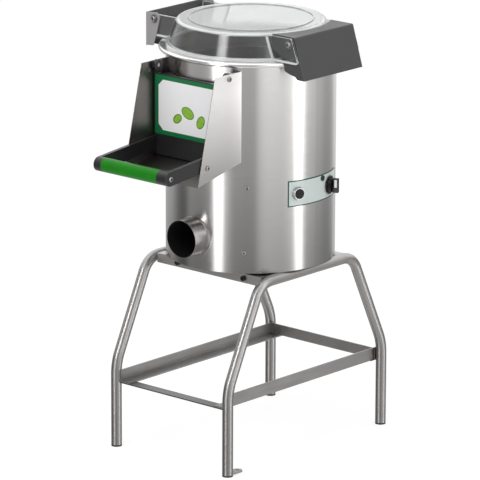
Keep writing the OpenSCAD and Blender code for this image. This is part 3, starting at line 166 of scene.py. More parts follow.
# %% World with a ring of light and shade
RING = [(-170, 0.53), (-143, 0.50), (-129, 0.44), (-118, 0.25), (-108, 0.15), (-99, 0.18),
        (-91, 0.40), (-77, 0.35), (-64, 0.38), (-53, 0.46), (-49, 3.40), (-39.5, 3.40),
        (-36.5, 0.90), (-33, 0.74), (-23, 0.46), (-7, 0.42), (5, 0.42), (13, 0.76),
        (20, 0.83), (43, 0.77), (55, 0.92), (62, 1.40), (65.5, 3.40), (74.5, 3.40),
        (77.5, 0.76), (88, 0.69), (104, 0.52), (124, 0.38), (140, 0.42), (155, 0.80)]

world = bpy.data.worlds.new("studio_world")
bpy.context.scene.world = world
world.use_nodes = True
sky = world.node_tree
sky.nodes.clear()
towards = put(sky, "ShaderNodeTexCoord").outputs["Generated"]
heading = put(sky, "ShaderNodeSeparateXYZ", links={0: towards}).outputs
bearing = reckon(sky, heading["Y"], ("ARCTAN2", heading["X"]))
turn = put(sky, "ShaderNodeMapRange", values={"From Min": -math.pi, "From Max": math.pi},
           links={"Value": bearing})
ring = put(sky, "ShaderNodeValToRGB", links={0: turn.outputs[0]})
camera_bearing = math.degrees(AZIMUTH) - 90
stops = sorted((((camera_bearing + angle + 180) % 360) / 360, level) for angle, level in RING)
ramp = ring.color_ramp
while len(ramp.elements) < len(stops):
    ramp.elements.new(0.5)
for element, (place, level) in zip(ramp.elements, stops):
    element.position = place
    element.color = (level, level, level, 1)
print("studio ring has", len(ramp.elements), "stops")

# %% [markdown]
# Behind the machine hangs a white backdrop, and a pale ceiling is high above.
# Flat tops, such as the lid's and the rim's, mirror the backdrop when they are
# seen from a little above. Upright walls on the camera's side never see it, so
# they keep the ring's stripes. Each mask below fades in between two values.
# Heights on the sphere run from -1 straight down to 1 straight up, and the
# first mask measures how far a direction points away from the camera.

# %% Backdrop and ceiling
CEILING = 1.50
POINTS_AWAY = (-0.10, 0.40)
BACKDROP_FOOT = (0.13, 0.25)
CEILING_EDGE = (0.55, 0.90)


def level_direction(side_deg):
    angle = math.radians(camera_bearing + side_deg)
    return Vector((math.cos(angle), math.sin(angle), 0))


def soft_mask(source, clear, full):
    faded = put(sky, "ShaderNodeMapRange", {"interpolation_type": "SMOOTHSTEP"},
                {"From Min": clear, "From Max": full}, {"Value": source})
    return faded.outputs[0]


def hang(mask, level, behind_it):
    blend = put(sky, "ShaderNodeMix", {"data_type": "RGBA"}, {"B": (level, level, level, 1)},
                {"Factor": mask, "A": behind_it})
    return blend.outputs["Result"]


facing_away = put(sky, "ShaderNodeVectorMath", {"operation": "DOT_PRODUCT"},
                  {1: level_direction(180)}, {0: towards}).outputs["Value"]
pale = reckon(sky, soft_mask(facing_away, *POINTS_AWAY),
              ("MULTIPLY", soft_mask(heading["Z"], *BACKDROP_FOOT)),
              ("MAXIMUM", soft_mask(heading["Z"], *CEILING_EDGE)))
surroundings = hang(pale, CEILING, ring.outputs["Color"])
print("backdrop and ceiling hang, level", CEILING)

# %% [markdown]
# Two white cards stand a little above the horizon, where only surfaces that
# lean back see them. The right one puts the bright line along the drain pipe,
# by way of the drum, and the left one the upright streak on the lid. A card is
# a soft-edged patch of the sky: near its middle in direction, above its foot
# and below its top.

# %% White cards
CARDS = [{"side_deg": 35, "half_width_deg": 14, "foot": 0.10, "top": 0.45, "level": 2.6},
         {"side_deg": -43, "half_width_deg": 5, "foot": 0.30, "top": 0.62, "level": 15.0}]
SIDE_FADE = 0.012
END_FADE = 0.06

level_part = put(sky, "ShaderNodeVectorMath", {"operation": "MULTIPLY"}, {1: (1, 1, 0)},
                 {0: towards})
sideways = put(sky, "ShaderNodeVectorMath", {"operation": "NORMALIZE"},
               links={0: level_part.outputs[0]}).outputs[0]


def white_card(behind_it, side_deg, half_width_deg, foot, top, level):
    facing = put(sky, "ShaderNodeVectorMath", {"operation": "DOT_PRODUCT"},
                 {1: level_direction(side_deg)}, {0: sideways}).outputs["Value"]
    edge = math.cos(math.radians(half_width_deg))
    mask = reckon(sky, soft_mask(facing, edge - SIDE_FADE, edge + SIDE_FADE),
                  ("MULTIPLY", soft_mask(heading["Z"], foot, foot + END_FADE)),
                  ("MULTIPLY", soft_mask(heading["Z"], top, top - END_FADE)))
    return hang(mask, level, behind_it)


for card in CARDS:
    surroundings = white_card(surroundings, **card)
print("white cards:", len(CARDS))

# %% [markdown]
# The ground below is pale. The last step says who sees what: mirror-like
# reflections see the ring with all that hangs before it, the camera sees plain
# white, also through the clear lid, and matt surfaces get one even pale light.

# %% Ground, and the light that each kind of ray sees
GROUND = 0.80
GROUND_EDGE = (-0.45, -0.75)
EVEN_LIGHT = 0.72

surroundings = hang(soft_mask(heading["Z"], *GROUND_EDGE), GROUND, surroundings)
path = put(sky, "ShaderNodeLightPath").outputs
mirrored = put(sky, "ShaderNodeBackground", links={"Color": surroundings})
even, white = (put(sky, "ShaderNodeBackground", values={"Color": (1, 1, 1, 1), "Strength": level})
               for level in (EVEN_LIGHT, 1.0))
lit = put(sky, "ShaderNodeMixShader",
          links={0: path["Is Glossy Ray"], 1: even.outputs[0], 2: mirrored.outputs[0]})
seen = reckon(sky, path["Is Camera Ray"], ("MAXIMUM", path["Is Transmission Ray"]))
shown = put(sky, "ShaderNodeMixShader", links={0: seen, 1: lit.outputs[0], 2: white.outputs[0]})
put(sky, "ShaderNodeOutputWorld", links={"Surface": shown.outputs[0]})
print("world ready, even light", EVEN_LIGHT)

# %% [markdown]
# Two large soft lamps give the painted and plastic pieces a little shape: one
# high on the left of the camera, a weaker one low on the right. They don't show
# in reflections, because the ring already does that.

# %% Lamps
LAMP_AIM = Vector((0, 0, 0.55))


def soft_lamp(name, side_deg, height, reach, size, power):
    light = bpy.data.lights.new(name, "AREA")
    light.size = size
    light.energy = power
    lamp = bpy.data.objects.new(name, light)
    spot = reach * level_direction(side_deg) + Vector((0, 0, height))
    aim = (LAMP_AIM - spot).to_track_quat("-Z", "Y")
    lamp.matrix_world = Matrix.Translation(spot) @ aim.to_matrix().to_4x4()
    lamp.visible_glossy = False
    bpy.context.collection.objects.link(lamp)


soft_lamp("key_lamp", side_deg=-40, height=3.2, reach=2.4, size=2.0, power=34)
soft_lamp("fill_lamp", side_deg=65, height=1.6, reach=3.0, size=2.0, power=12)

# %% [markdown]
# The floor is one large pale disc. To the camera it is almost white, with just
# enough of its own shading left for a soft contact shadow under the feet.

# %% Floor
FLOOR_RADIUS = 25
FLOOR_GLOW = 1.14
GLOW_SHARE = 0.72


def new_object(name, mesh):
    made = bpy.data.objects.new(name, mesh)
    bpy.context.collection.objects.link(made)
    return made


floor_mesh = bpy.data.meshes.new("studio_floor")
disc = bmesh.new()
bmesh.ops.create_circle(disc, cap_ends=True, radius=FLOOR_RADIUS, segments=96)
disc.to_mesh(floor_mesh)
disc.free()
floor = new_object("studio_floor", floor_mesh)
floor.visible_glossy = False

paper = bpy.data.materials.new("studio_paper")
paper.use_nodes = True
tree = paper.node_tree
tree.nodes.clear()
matt = put(tree, "ShaderNodeBsdfDiffuse", values={"Color": linear("#f4f4f4")})
glow = put(tree, "ShaderNodeEmission", values={"Color": (1, 1, 1, 1), "Strength": FLOOR_GLOW})
watched = put(tree, "ShaderNodeLightPath").outputs["Is Camera Ray"]
mixed = put(tree, "ShaderNodeMixShader",
            links={0: reckon(tree, watched, ("MULTIPLY", GLOW_SHARE)),
                   1: matt.outputs[0], 2: glow.outputs[0]})
put(tree, "ShaderNodeOutputMaterial", links={"Surface": mixed.outputs[0]})
floor_mesh.materials.append(paper)
print("floor radius:", FLOOR_RADIUS, "m")

# %% [markdown]
# ## Finishes
#
# Every material starts from Blender's Principled shader and from the piece's
# own coordinates in metres, so a pattern has a real size and moves with the
# piece. A Mapping node stretches those coordinates into lines for brushed
# metal, or leaves them even for cast and moulded surfaces.

# %% Start or reopen a material
def reopen(material):
    tree = material.node_tree
    place = put(tree, "ShaderNodeTexCoord").outputs["Object"]
    return tree, tree.nodes["Principled BSDF"], place


def start(name, hex_colour, values):
    material = bpy.data.materials.new(name)
    material.use_nodes = True
    tree, shader, place = reopen(material)
    shader.inputs["Base Color"].default_value = linear(hex_colour)
    for socket, value in values.items():
        shader.inputs[socket].default_value = value
    return material, tree, shader, place


print("a material starts from:", bpy.types.ShaderNodeBsdfPrincipled.bl_rna.name)

# %% [markdown]
# Five steps come back in most finishes. The first is an uneven pattern with a
# period in millimetres along each axis. Blender's noise mostly stays between
# 0.3 and 0.7, so the second step spreads that range over the values wanted. The
# others put a pattern to use: they blend two tones, vary the roughness a little
# and raise a relief.

# %% Pattern, spread, tones, sheen and relief
NOISE_LOW = 0.3
NOISE_HIGH = 0.7


def uneven(tree, place, periods_mm, detail=3.0):
    scale = [1 / (p * MM) for p in periods_mm]
    spread = put(tree, "ShaderNodeMapping", values={"Scale": scale}, links={"Vector": place})
    noise = put(tree, "ShaderNodeTexNoise", values={"Scale": 1.0, "Detail": detail},
                links={"Vector": spread.outputs[0]})
    return noise.outputs["Fac"]


def between(tree, noise, low=0.0, high=1.0):
    limits = {"From Min": NOISE_LOW, "From Max": NOISE_HIGH, "To Min": low, "To Max": high}
    return put(tree, "ShaderNodeMapRange", values=limits, links={"Value": noise}).outputs[0]


def two_tone(tree, shader, factor, dark, light):
    blend = put(tree, "ShaderNodeMix", {"data_type": "RGBA"},
                {"A": linear(dark), "B": linear(light)}, {"Factor": factor})
    tree.links.new(blend.outputs["Result"], shader.inputs["Base Color"])


def sheen(tree, shader, noise, low, high):
    tree.links.new(between(tree, noise, low, high), shader.inputs["Roughness"])


def relief(tree, shader, height, depth_mm, strength=1.0):
    bump = put(tree, "ShaderNodeBump", values={"Strength": strength, "Distance": depth_mm * MM},
               links={"Height": height})
    tree.links.new(bump.outputs[0], shader.inputs["Normal"])


print("noise is read from", NOISE_LOW, "to", NOISE_HIGH)

# %% [markdown]
# ### Brushed stainless sheet
#
# The drum is rolled from stainless sheet (grade 304) that was brushed along its
# length, so the fine scratches run round the drum. They smear a reflection up
# and down but keep its sides crisp, which is why the soft boxes show as clean
# upright stripes. The shader's anisotropy does that, with its direction taken
# round the upright axis. The scratches themselves are about 0.1 mm wide; they
# are drawn about 1.5 mm wide so that they show. A faint stain, some 90 mm
# across, keeps large walls from looking printed.

# %% Brushed stainless
STAIN_MM = (90, 90, 160)
SCRATCH_DEPTH_MM = 0.02
STAIN_SPREAD = (0.10, 0.40)


def brushed_stainless(name, light, dark, grain_mm, rough, around_z=False, depth=0.10):
    material, tree, shader, place = start(name, light, {"Metallic": 1.0})
    grain = uneven(tree, place, grain_mm)
    both = reckon(tree, grain, ("MULTIPLY", uneven(tree, place, STAIN_MM, detail=2.0)))
    tone = put(tree, "ShaderNodeMapRange", links={"Value": both},
               values={"From Min": STAIN_SPREAD[0], "From Max": STAIN_SPREAD[1]})
    two_tone(tree, shader, tone.outputs[0], dark, light)
    sheen(tree, shader, grain, rough - 0.03, rough + 0.03)
    relief(tree, shader, grain, SCRATCH_DEPTH_MM, depth)
    if around_z:
        shader.inputs["Anisotropic"].default_value = 0.75
        shader.inputs["Anisotropic Rotation"].default_value = 0.25
        along = put(tree, "ShaderNodeTangent", {"direction_type": "RADIAL", "axis": "Z"})
        tree.links.new(along.outputs[0], shader.inputs["Tangent"])
    return material


drum_sheet = brushed_stainless("brushed_stainless_drum", "#f0eeed", "#ebe9e8",
                               (45, 45, 1.5), 0.22, around_z=True, depth=0.04)
rim_steel = brushed_stainless("polished_stainless_rim", "#f2f1f0", "#ebeae9",
                              (40, 40, 2.5), 0.16, around_z=True, depth=0.04)
flat_sheet = brushed_stainless("brushed_stainless_flat", "#f7f5f3", "#f0eeec",
                               (60, 60, 1.5), 0.50, depth=0.03)
print("sheet finishes:", drum_sheet.name, rim_steel.name, flat_sheet.name)

# %% [markdown]
# ### Stand, pipe and fasteners
#
# The stand is drawn tube and bent flat bar in the same steel, only satin
# ground. Its reflections are softer and it looks a shade darker. The front tie
# is a strip of satin steel whose base colour is darkened as painted shade, and
# the top plate is plain sheet whose grain has no direction. Fasteners are turned,
# so their marks are finer and closer together, and the buffers' bolts are
# blackened. The drain pipe is polished: its reflections are the sharpest.

# %% Tube, bar, plate, fastener and pipe steel
tube_steel = brushed_stainless("satin_stainless_tube", "#a5a3a2", "#9e9c9b",
                               (90, 90, 120), 0.34, depth=0.0)
bar_steel = brushed_stainless("satin_stainless_bar", "#a19f9e", "#959392",
                              (6, 80, 6), 0.42, depth=0.05)
# painted shade: the front tie's base colour is set darker than the other stand steel
strip_steel = brushed_stainless("satin_stainless_strip_shaded", "#747271", "#6a6867",
                                (60, 6, 6), 0.42, depth=0.03)
plate_steel = brushed_stainless("satin_stainless_plate", "#b7b4b2", "#adaaa8",
                                (60, 60, 60), 0.38, depth=0.03)
screw_steel = brushed_stainless("turned_steel", "#a3a1a0", "#8f8d8b", (2, 2, 2), 0.28)
black_steel = brushed_stainless("blackened_steel", "#39393a", "#2d2d2e", (2, 2, 2), 0.20)
pipe_steel = brushed_stainless("pipe_stainless", "#bfbcba", "#b3b0ae", (30, 1.5, 30), 0.20)
print("stand finishes:", tube_steel.name, bar_steel.name, plate_steel.name, pipe_steel.name)

# %% [markdown]
# Nearer the floor an upright wall mirrors less of the bright room. The ring of
# light has no heights of its own, so the base colour is shaded with the height
# of the piece instead: at the low height it keeps a share of its brightness,
# and at the high one all of it.

# %% Shade upright steel towards the floor
def darker_low(material, low_mm, high_mm, share):
    tree, shader, place = reopen(material)
    height = put(tree, "ShaderNodeSeparateXYZ", links={0: place}).outputs["Z"]
    fade = put(tree, "ShaderNodeMapRange", links={"Value": height},
               values={"From Min": low_mm * MM, "From Max": high_mm * MM, "To Min": share})
    source = shader.inputs["Base Color"].links[0].from_socket
    dimmed = put(tree, "ShaderNodeVectorMath", {"operation": "SCALE"},
                 links={0: source, "Scale": fade.outputs[0]})
    tree.links.new(dimmed.outputs[0], shader.inputs["Base Color"])


darker_low(drum_sheet, low_mm=454, high_mm=946, share=0.43)
darker_low(flat_sheet, low_mm=690, high_mm=890, share=0.42)
darker_low(tube_steel, low_mm=60, high_mm=300, share=0.82)
print("shaded towards the floor:", drum_sheet.name, flat_sheet.name, tube_steel.name)

# %% [markdown]
# The chute is bright outside, but its inside lies in its own shade, and that
# shade is painted. The faces could get two materials, but a measure needs no
# cutting: where a point is nearer the middle than the cheeks' inner faces, a Mix
# node swaps in a darker, smoother tone as painted shade.

# %% Dim the inside of the chute
CHUTE_INSIDE_MM = 114.2


def swap_where(tree, shader, mask, socket, value):
    kind = "RGBA" if socket == "Base Color" else "FLOAT"
    source = shader.inputs[socket].links[0].from_socket
    blend = put(tree, "ShaderNodeMix", {"data_type": kind}, {"B": value},
                {"Factor": mask, "A": source})
    tree.links.new(blend.outputs["Result"], shader.inputs[socket])


def dim_inside(material, half_width_mm, hex_colour, rough, axis="X"):
    tree, shader, place = reopen(material)
    across = put(tree, "ShaderNodeSeparateXYZ", links={0: place}).outputs[axis]
    within = reckon(tree, across, ("ABSOLUTE",), ("LESS_THAN", half_width_mm * MM))
    swap_where(tree, shader, within, "Base Color", linear(hex_colour))
    swap_where(tree, shader, within, "Roughness", rough)


# painted shade inside the chute
dim_inside(flat_sheet, CHUTE_INSIDE_MM, "#8a8583", 0.36)
print("chute inside is dimmed within", CHUTE_INSIDE_MM, "mm of its middle")

# %% [markdown]
# The pipe's bore is never lit, so from outside it is almost black. That shade is
# painted: a Mix Shader swaps the steel for a dark, matt surface wherever a point
# is nearer the pipe's axis than the middle of its wall.

# %% Painted shade in the drain pipe's bore
PIPE_RADIUS_MM = 45.0
PIPE_LEVEL_MM = 531.0
PIPE_WALL_MIDDLE_MM = 44.2


def wet_bore(material, axis_level_mm, radius_mm):
    tree, shader, place = reopen(material)
    axes = put(tree, "ShaderNodeSeparateXYZ", links={0: place}).outputs
    drop = reckon(tree, axes["Z"], ("SUBTRACT", axis_level_mm * MM))
    offset = put(tree, "ShaderNodeCombineXYZ", links={"X": axes["X"], "Z": drop})
    away = put(tree, "ShaderNodeVectorMath", {"operation": "LENGTH"},
               links={0: offset.outputs[0]}).outputs["Value"]
    # painted shade: a dark matt surface inside the bore
    film = put(tree, "ShaderNodeBsdfPrincipled",
               values={"Base Color": linear("#0d0c0b"), "Roughness": 0.75, "IOR": 1.4})
    both = put(tree, "ShaderNodeMixShader",
               links={0: reckon(tree, away, ("LESS_THAN", radius_mm * MM)),
                      1: shader.outputs[0], 2: film.outputs[0]})
    tree.links.new(both.outputs[0], tree.nodes["Material Output"].inputs["Surface"])


wet_bore(pipe_steel, PIPE_LEVEL_MM, PIPE_WALL_MIDDLE_MM)
print("bore is dark within", PIPE_WALL_MIDDLE_MM, "mm of the pipe's axis")

# %% [markdown]
# ### Welds
#
# A bead laid on stainless keeps the small ripples of its drops. The ones on the
# drum were pickled and brushed after welding, so they are plain grey. The tacks
# on the stand were left as they cooled, with a film of oxide that tints the
# metal's reflection brown and purple. One function makes both, with a noise
# that breaks the tint into patches.

# %% Weld metal
RIPPLE_MM = 2.2
TINT_PATCH_MM = 14


def weld_metal(name, dark, light):
    material, tree, shader, place = start(name, light, {"Metallic": 1.0, "Roughness": 0.34})
    ripple = uneven(tree, place, [RIPPLE_MM] * 3, detail=2.0)
    tint = uneven(tree, place, [TINT_PATCH_MM] * 3, detail=2.0)
    two_tone(tree, shader, between(tree, tint), dark, light)
    relief(tree, shader, ripple, depth_mm=0.4, strength=0.6)
    return material


weld = weld_metal("tig_weld_bead", "#7b7775", "#9d9a98")
burnt_weld = weld_metal("heat_tinted_weld", "#6b4a48", "#9b8583")
print("weld finishes:", weld.name, burnt_weld.name)

# %% [markdown]
# ### Paint
#
# The hinge bracket, the latch cover and the door are folded steel with a stoved
# enamel: neutral greys with a soft sheen. Baked paint flows into a slight orange
# peel, a few millimetres across and a few hundredths deep. Along the sheared
# edges of the sheet the light catches, and that highlight is painted. A Bevel
# node finds those edges: its rounded normal agrees with the true one on a flat
# face and departs from it near an edge, and the tone is lifted there.

# %% Stoved enamel
THIN_EDGE_MM = 1.2
PEEL_DEPTH_MM = 0.03
PAINT_CLOUD_MM = 60


def flatness(tree, facing, radius_mm, samples):
    rounded = put(tree, "ShaderNodeBevel", {"samples": samples}, {"Radius": radius_mm * MM})
    agree = put(tree, "ShaderNodeVectorMath", {"operation": "DOT_PRODUCT"},
                links={0: rounded.outputs[0], 1: facing})
    return agree.outputs["Value"]


def stoved_enamel(name, body, edge, rough, peel_mm=3.0):
    material, tree, shader, place = start(name, body, {"IOR": 1.5})
    cloud = uneven(tree, place, [PAINT_CLOUD_MM] * 3)
    facing = put(tree, "ShaderNodeNewGeometry").outputs["Normal"]
    # painted highlight: the tone is lifted along the sheet's edges
    worn = put(tree, "ShaderNodeMapRange",
               values={"From Min": 0.985, "From Max": 0.90, "To Max": 0.7},
               links={"Value": flatness(tree, facing, THIN_EDGE_MM, samples=6)})
    two_tone(tree, shader, worn.outputs[0], body, edge)
    sheen(tree, shader, cloud, rough - 0.05, rough + 0.05)
    relief(tree, shader, uneven(tree, place, [peel_mm] * 3), PEEL_DEPTH_MM, strength=0.5)
    return material


# the second colour of each finish is its painted edge highlight
cover_paint = stoved_enamel("grey_stoved_enamel", "#3f3f3f", "#868686", 0.42)
bracket_paint = stoved_enamel("silver_grey_stoved_enamel", "#9b999a", "#d0cfd0", 0.34)
door_paint = stoved_enamel("charcoal_stoved_enamel", "#201f21", "#5b5a5c", 0.36)
motor_paint = stoved_enamel("blue_grey_motor_enamel", "#4c545c", "#6d757d", 0.45, 6.0)
print("paint finishes:", cover_paint.name, bracket_paint.name, door_paint.name, motor_paint.name)

# %% [markdown]
# Between its two cheeks the hinge bracket lies in the lid's shade, so its back
# plate is painted darker as shade. The cheeks' inner faces are found from the
# bracket's own box, less the thickness of its sheet with the paint on.

# %% Dim the bracket between its cheeks
BRACKET_SHEET_MM = 2.6

bracket_inside_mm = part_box("hinge_bracket")[1].y / MM - BRACKET_SHEET_MM
# painted shade on the bracket's back plate
dim_inside(bracket_paint, bracket_inside_mm, "#656465", 0.40, "Y")
print("bracket is dimmed within", round(bracket_inside_mm, 1), "mm of its middle")

# %% [markdown]
# ### Plastics and rubber
#
# Moulded plastic has an IOR near 1.5. Its fine spark-eroded texture, about half
# a millimetre across, spreads the sheen without hiding it. The handle's sleeve
# is a satin tube of soft PVC, and rubber is duller and rougher. The sleeve, the
# button and the knob have a grained skin that scatters part of the sheen, so a
# share below the usual 0.5 is set for their specular level.

# %% Moulded plastics and rubber
MOULD_CLOUD_MM = 35


def moulded(name, hex_colour, shade, rough, grain_mm=0.8, depth_mm=0.02, ior=1.5):
    material, tree, shader, place = start(name, hex_colour, {"IOR": ior})
    texture = uneven(tree, place, [grain_mm] * 3, detail=2.0)
    cloud = uneven(tree, place, [MOULD_CLOUD_MM] * 3, detail=2.0)
    two_tone(tree, shader, between(tree, cloud), shade, hex_colour)
    sheen(tree, shader, cloud, rough - 0.04, rough + 0.04)
    relief(tree, shader, texture, depth_mm, strength=0.5)
    return material


black_nylon = moulded("black_nylon", "#2b2b2c", "#232324", 0.45)
knob_plastic = moulded("black_phenolic_knob", "#0d0d0f", "#09090a", 0.22, 2.0, 0.01)
sleeve_plastic = moulded("green_pvc_sleeve", "#13800b", "#0f7608", 0.40, 2.0, 0.02)
button_plastic = moulded("dark_button_plastic", "#131318", "#0e0e12", 0.40)
ivory_plastic = moulded("ivory_polyamide", "#d9d4c4", "#cfc9b8", 0.45)
lens_plastic = moulded("green_lamp_lens", "#15352b", "#0f2a22", 0.30, ior=1.58)
black_rubber = moulded("black_rubber", "#1a1a1a", "#131313", 0.62, 1.2, 0.04, 1.52)
magnet_ferrite = moulded("ferrite_magnet", "#3a3a3c", "#2f2f31", 0.55)
for soft_skin, share in ((sleeve_plastic, 0.22), (button_plastic, 0.20), (knob_plastic, 0.35),
                         (lens_plastic, 0.30)):
    shader = soft_skin.node_tree.nodes["Principled BSDF"]
    shader.inputs["Specular IOR Level"].default_value = share
print("moulded finishes:", black_nylon.name, sleeve_plastic.name, black_rubber.name)

# %% [markdown]
# The timer's knob has a white index mark along the side of its grip, which
# points at the dial marks. It sits where the grip shows a bright highlight, so it
# is partly a painted highlight. The mark is flush, so it is a matter of colour:
# two Compare nodes keep the points that lie at the right depth under the grip's
# tip and at the right height.

# %% White index in the knob
TIMER_BEARING = 17
INDEX_LEVEL_MM = 643.0
INDEX_DEEP_MM = 6.5
INDEX_TALL_MM = 18.0
INDEX_UNDER_TIP_MM = 1.0


def index_inlay(material, node, hex_colour):
    tree, shader, place = reopen(material)
    angle = math.radians(TIMER_BEARING)
    outward = Vector((math.cos(angle), math.sin(angle), 0))
    tip = max(vertex.co @ outward for vertex in frame["nodes"][node].data.vertices)
    reach = put(tree, "ShaderNodeVectorMath", {"operation": "DOT_PRODUCT"}, {1: outward},
                {0: place}).outputs["Value"]
    height = put(tree, "ShaderNodeSeparateXYZ", links={0: place}).outputs["Z"]
    middle = tip - (INDEX_DEEP_MM / 2 + INDEX_UNDER_TIP_MM) * MM
    level = reckon(tree, height, ("COMPARE", INDEX_LEVEL_MM * MM, INDEX_TALL_MM / 2 * MM))
    inlay = reckon(tree, reach, ("COMPARE", middle, INDEX_DEEP_MM / 2 * MM), ("MULTIPLY", level))
    # index mark and painted highlight on the grip
    swap_where(tree, shader, inlay, "Base Color", linear(hex_colour))


index_inlay(knob_plastic, "timer_knob", "#f0f0ee")
print("index is", INDEX_DEEP_MM, "by", INDEX_TALL_MM, "mm")

# %% [markdown]
# ### Clear polycarbonate
#
# The lid is one thick moulding in clear polycarbonate, with an IOR of 1.58. Very
# light wiping marks keep it from looking like perfect glass. Some places are made
# less clear, so the pale base colour shows there: the sheet's edges as a painted
# glow, the bend between the wall and the flat top as a painted highlight, and the
# foot ring that rests on the rim. Each of these has a measure of how clear a
# point is, and the least of them goes into the shader's transmission. The bend is
# found by the tilt of the surface, and the level top is let off again.

# %% Clear lid
EDGE_GLOW_MM = 2.2
FOOT_RING_MM = 6.0
FOOT_FADE_MM = 0.3
EDGE_CLEAR = 0.1
MILKY_CLEAR = 0.35
WIPE_MM = (25, 60, 25)
MOULD_WAVE_MM = 30


def clear_plastic(name, hex_colour, rough):
    material, tree, shader, place = start(name, hex_colour,
                                          {"IOR": 1.58, "Transmission Weight": 1.0})
    wipe = uneven(tree, place, WIPE_MM, detail=4.0)
    sheen(tree, shader, wipe, rough, rough + 0.05)
    wave = uneven(tree, place, [MOULD_WAVE_MM] * 3, detail=1.0)
    relief(tree, shader, wave, depth_mm=0.05, strength=0.2)
    return material


def milky_places(material, foot_top_mm):
    tree, shader, place = reopen(material)
    facing = put(tree, "ShaderNodeNewGeometry").outputs["Normal"]
    height = put(tree, "ShaderNodeSeparateXYZ", links={0: place}).outputs["Z"]
    tilt = put(tree, "ShaderNodeSeparateXYZ", links={0: facing}).outputs["Z"]
    # painted glow: the sheet's edges lose their clearness and show pale
    edge = put(tree, "ShaderNodeMapRange",
               values={"From Min": 0.995, "From Max": 0.93, "To Min": 1.0, "To Max": EDGE_CLEAR},
               links={"Value": flatness(tree, facing, EDGE_GLOW_MM, samples=8)})
    foot = put(tree, "ShaderNodeMapRange", links={"Value": height},
               values={"From Min": (foot_top_mm - FOOT_FADE_MM) * MM,
                       "From Max": (foot_top_mm + FOOT_FADE_MM) * MM, "To Min": MILKY_CLEAR})
    # painted highlight: the bend between wall and top is made pale
    bend = put(tree, "ShaderNodeMapRange", {"interpolation_type": "SMOOTHSTEP"},
               {"From Min": 0.45, "From Max": 0.75, "To Min": 1.0, "To Max": MILKY_CLEAR},
               {"Value": tilt})
    flat_top = put(tree, "ShaderNodeMapRange", values={"From Min": 0.97, "From Max": 0.995},
                   links={"Value": tilt})
    corner = reckon(tree, bend.outputs[0], ("MAXIMUM", flat_top.outputs[0]))
    clear = reckon(tree, edge.outputs[0], ("MINIMUM", foot.outputs[0]), ("MINIMUM", corner))
    tree.links.new(clear, shader.inputs["Transmission Weight"])


lid_plastic = clear_plastic("clear_polycarbonate", "#f2f4f4", 0.02)
milky_places(lid_plastic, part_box("lid_dome")[0].z / MM + FOOT_RING_MM)
print("clear finish:", lid_plastic.name)

# %% [markdown]
# ### Castings, brass and grit
#
# The housing, the pulleys and the disc are sand-cast aluminium, grey and grainy.
# The lining and the disc's face carry bonded abrasive. Its grains are about
# 2 mm across (a coarse number 10 grit), drawn at 4 mm so that they read, as a
# Voronoi pattern that both darkens and dents the surface.

# %% Cast metal, brass and abrasive
SAND_MM = 1.6
GRIT_MM = 4.0


def cast_metal(name, light, dark, rough):
    material, tree, shader, place = start(name, light, {"Metallic": 1.0})
    sand = uneven(tree, place, [SAND_MM] * 3, detail=4.0)
    two_tone(tree, shader, between(tree, sand), dark, light)
    sheen(tree, shader, sand, rough - 0.06, rough + 0.08)
    relief(tree, shader, sand, depth_mm=0.08, strength=0.5)
    return material


def bonded_grit(name, light, dark):
    material, tree, shader, place = start(name, light, {"Roughness": 0.85})
    grains = put(tree, "ShaderNodeTexVoronoi", values={"Scale": 1 / (GRIT_MM * MM)},
                 links={"Vector": place}).outputs["Distance"]
    two_tone(tree, shader, grains, dark, light)
    relief(tree, shader, grains, depth_mm=0.8, strength=0.8)
    return material


cast_aluminium = cast_metal("cast_aluminium", "#b9b9ba", "#9c9c9d", 0.45)
machined_brass = cast_metal("machined_brass", "#c9a45a", "#b08c45", 0.28)
chrome = cast_metal("bright_chrome", "#b4b4b6", "#a8a8aa", 0.30)
grit = bonded_grit("bonded_abrasive_grit", "#6a6560", "#2f2b28")
print("cast and bonded finishes:", cast_aluminium.name, machined_brass.name, grit.name)

# %% [markdown]
# ### Printed plates
#
# The door's label and the control plate are pale plastic film, printed on the
# back in green. A border can be a separate thin piece, but a print has no
# thickness, so it is drawn in the material: a formula measures how far a point
# is inside the border, and below nought the ink shows. A motif is a list of
# masks with their colours, laid over the field one by one.

# %% Printed film
FILM_WAVE_MM = 6


def printed_film(name, field, ink, measure, motif):
    material, tree, shader, place = start(name, field, {"Roughness": 0.22, "IOR": 1.5})
    axes = put(tree, "ShaderNodeSeparateXYZ", links={0: place}).outputs
    two_tone(tree, shader, reckon(tree, measure(tree, axes), ("LESS_THAN", 0.0)), field, ink)
    for mask, hex_colour in motif(tree, axes):
        swap_where(tree, shader, mask, "Base Color", linear(hex_colour))
    wave = uneven(tree, place, [FILM_WAVE_MM] * 3, detail=1.0)
    relief(tree, shader, wave, depth_mm=0.02, strength=0.2)
    return material


print("a film takes a measure and a motif")

# %% [markdown]
# On the label the border is 10.5 mm wide and its inner corners are cut off at
# 45 degrees, which a third measure along the diagonal gives. The plate is bent
# round the drum, so its sides are measured as an angle and then turned into a
# length. Its border is a thin line.

# %% Borders of the label and the plate
label_low, label_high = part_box("door_label")
plate_low, plate_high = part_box("control_plate")
LABEL_BORDER = 10.5 * MM
LABEL_CUT = 14.0 * MM
DRUM_RADIUS = plate_high.x
PLATE_START = math.radians(-23)
PLATE_END = math.radians(29)
PLATE_BORDER = 2.6 * MM


def inside_label(tree, axes):
    middle = (label_low + label_high) / 2
    half = (label_high - label_low) / 2
    across = reckon(tree, axes["X"], ("SUBTRACT", middle.x), ("ABSOLUTE",))
    upright = reckon(tree, axes["Z"], ("SUBTRACT", middle.z), ("ABSOLUTE",))
    side = reckon(tree, half.x - LABEL_BORDER, ("SUBTRACT", across))
    end = reckon(tree, half.z - LABEL_BORDER, ("SUBTRACT", upright))
    corner = reckon(tree, side, ("ADD", end), ("SUBTRACT", LABEL_CUT))
    return reckon(tree, side, ("MINIMUM", end), ("MINIMUM", corner))


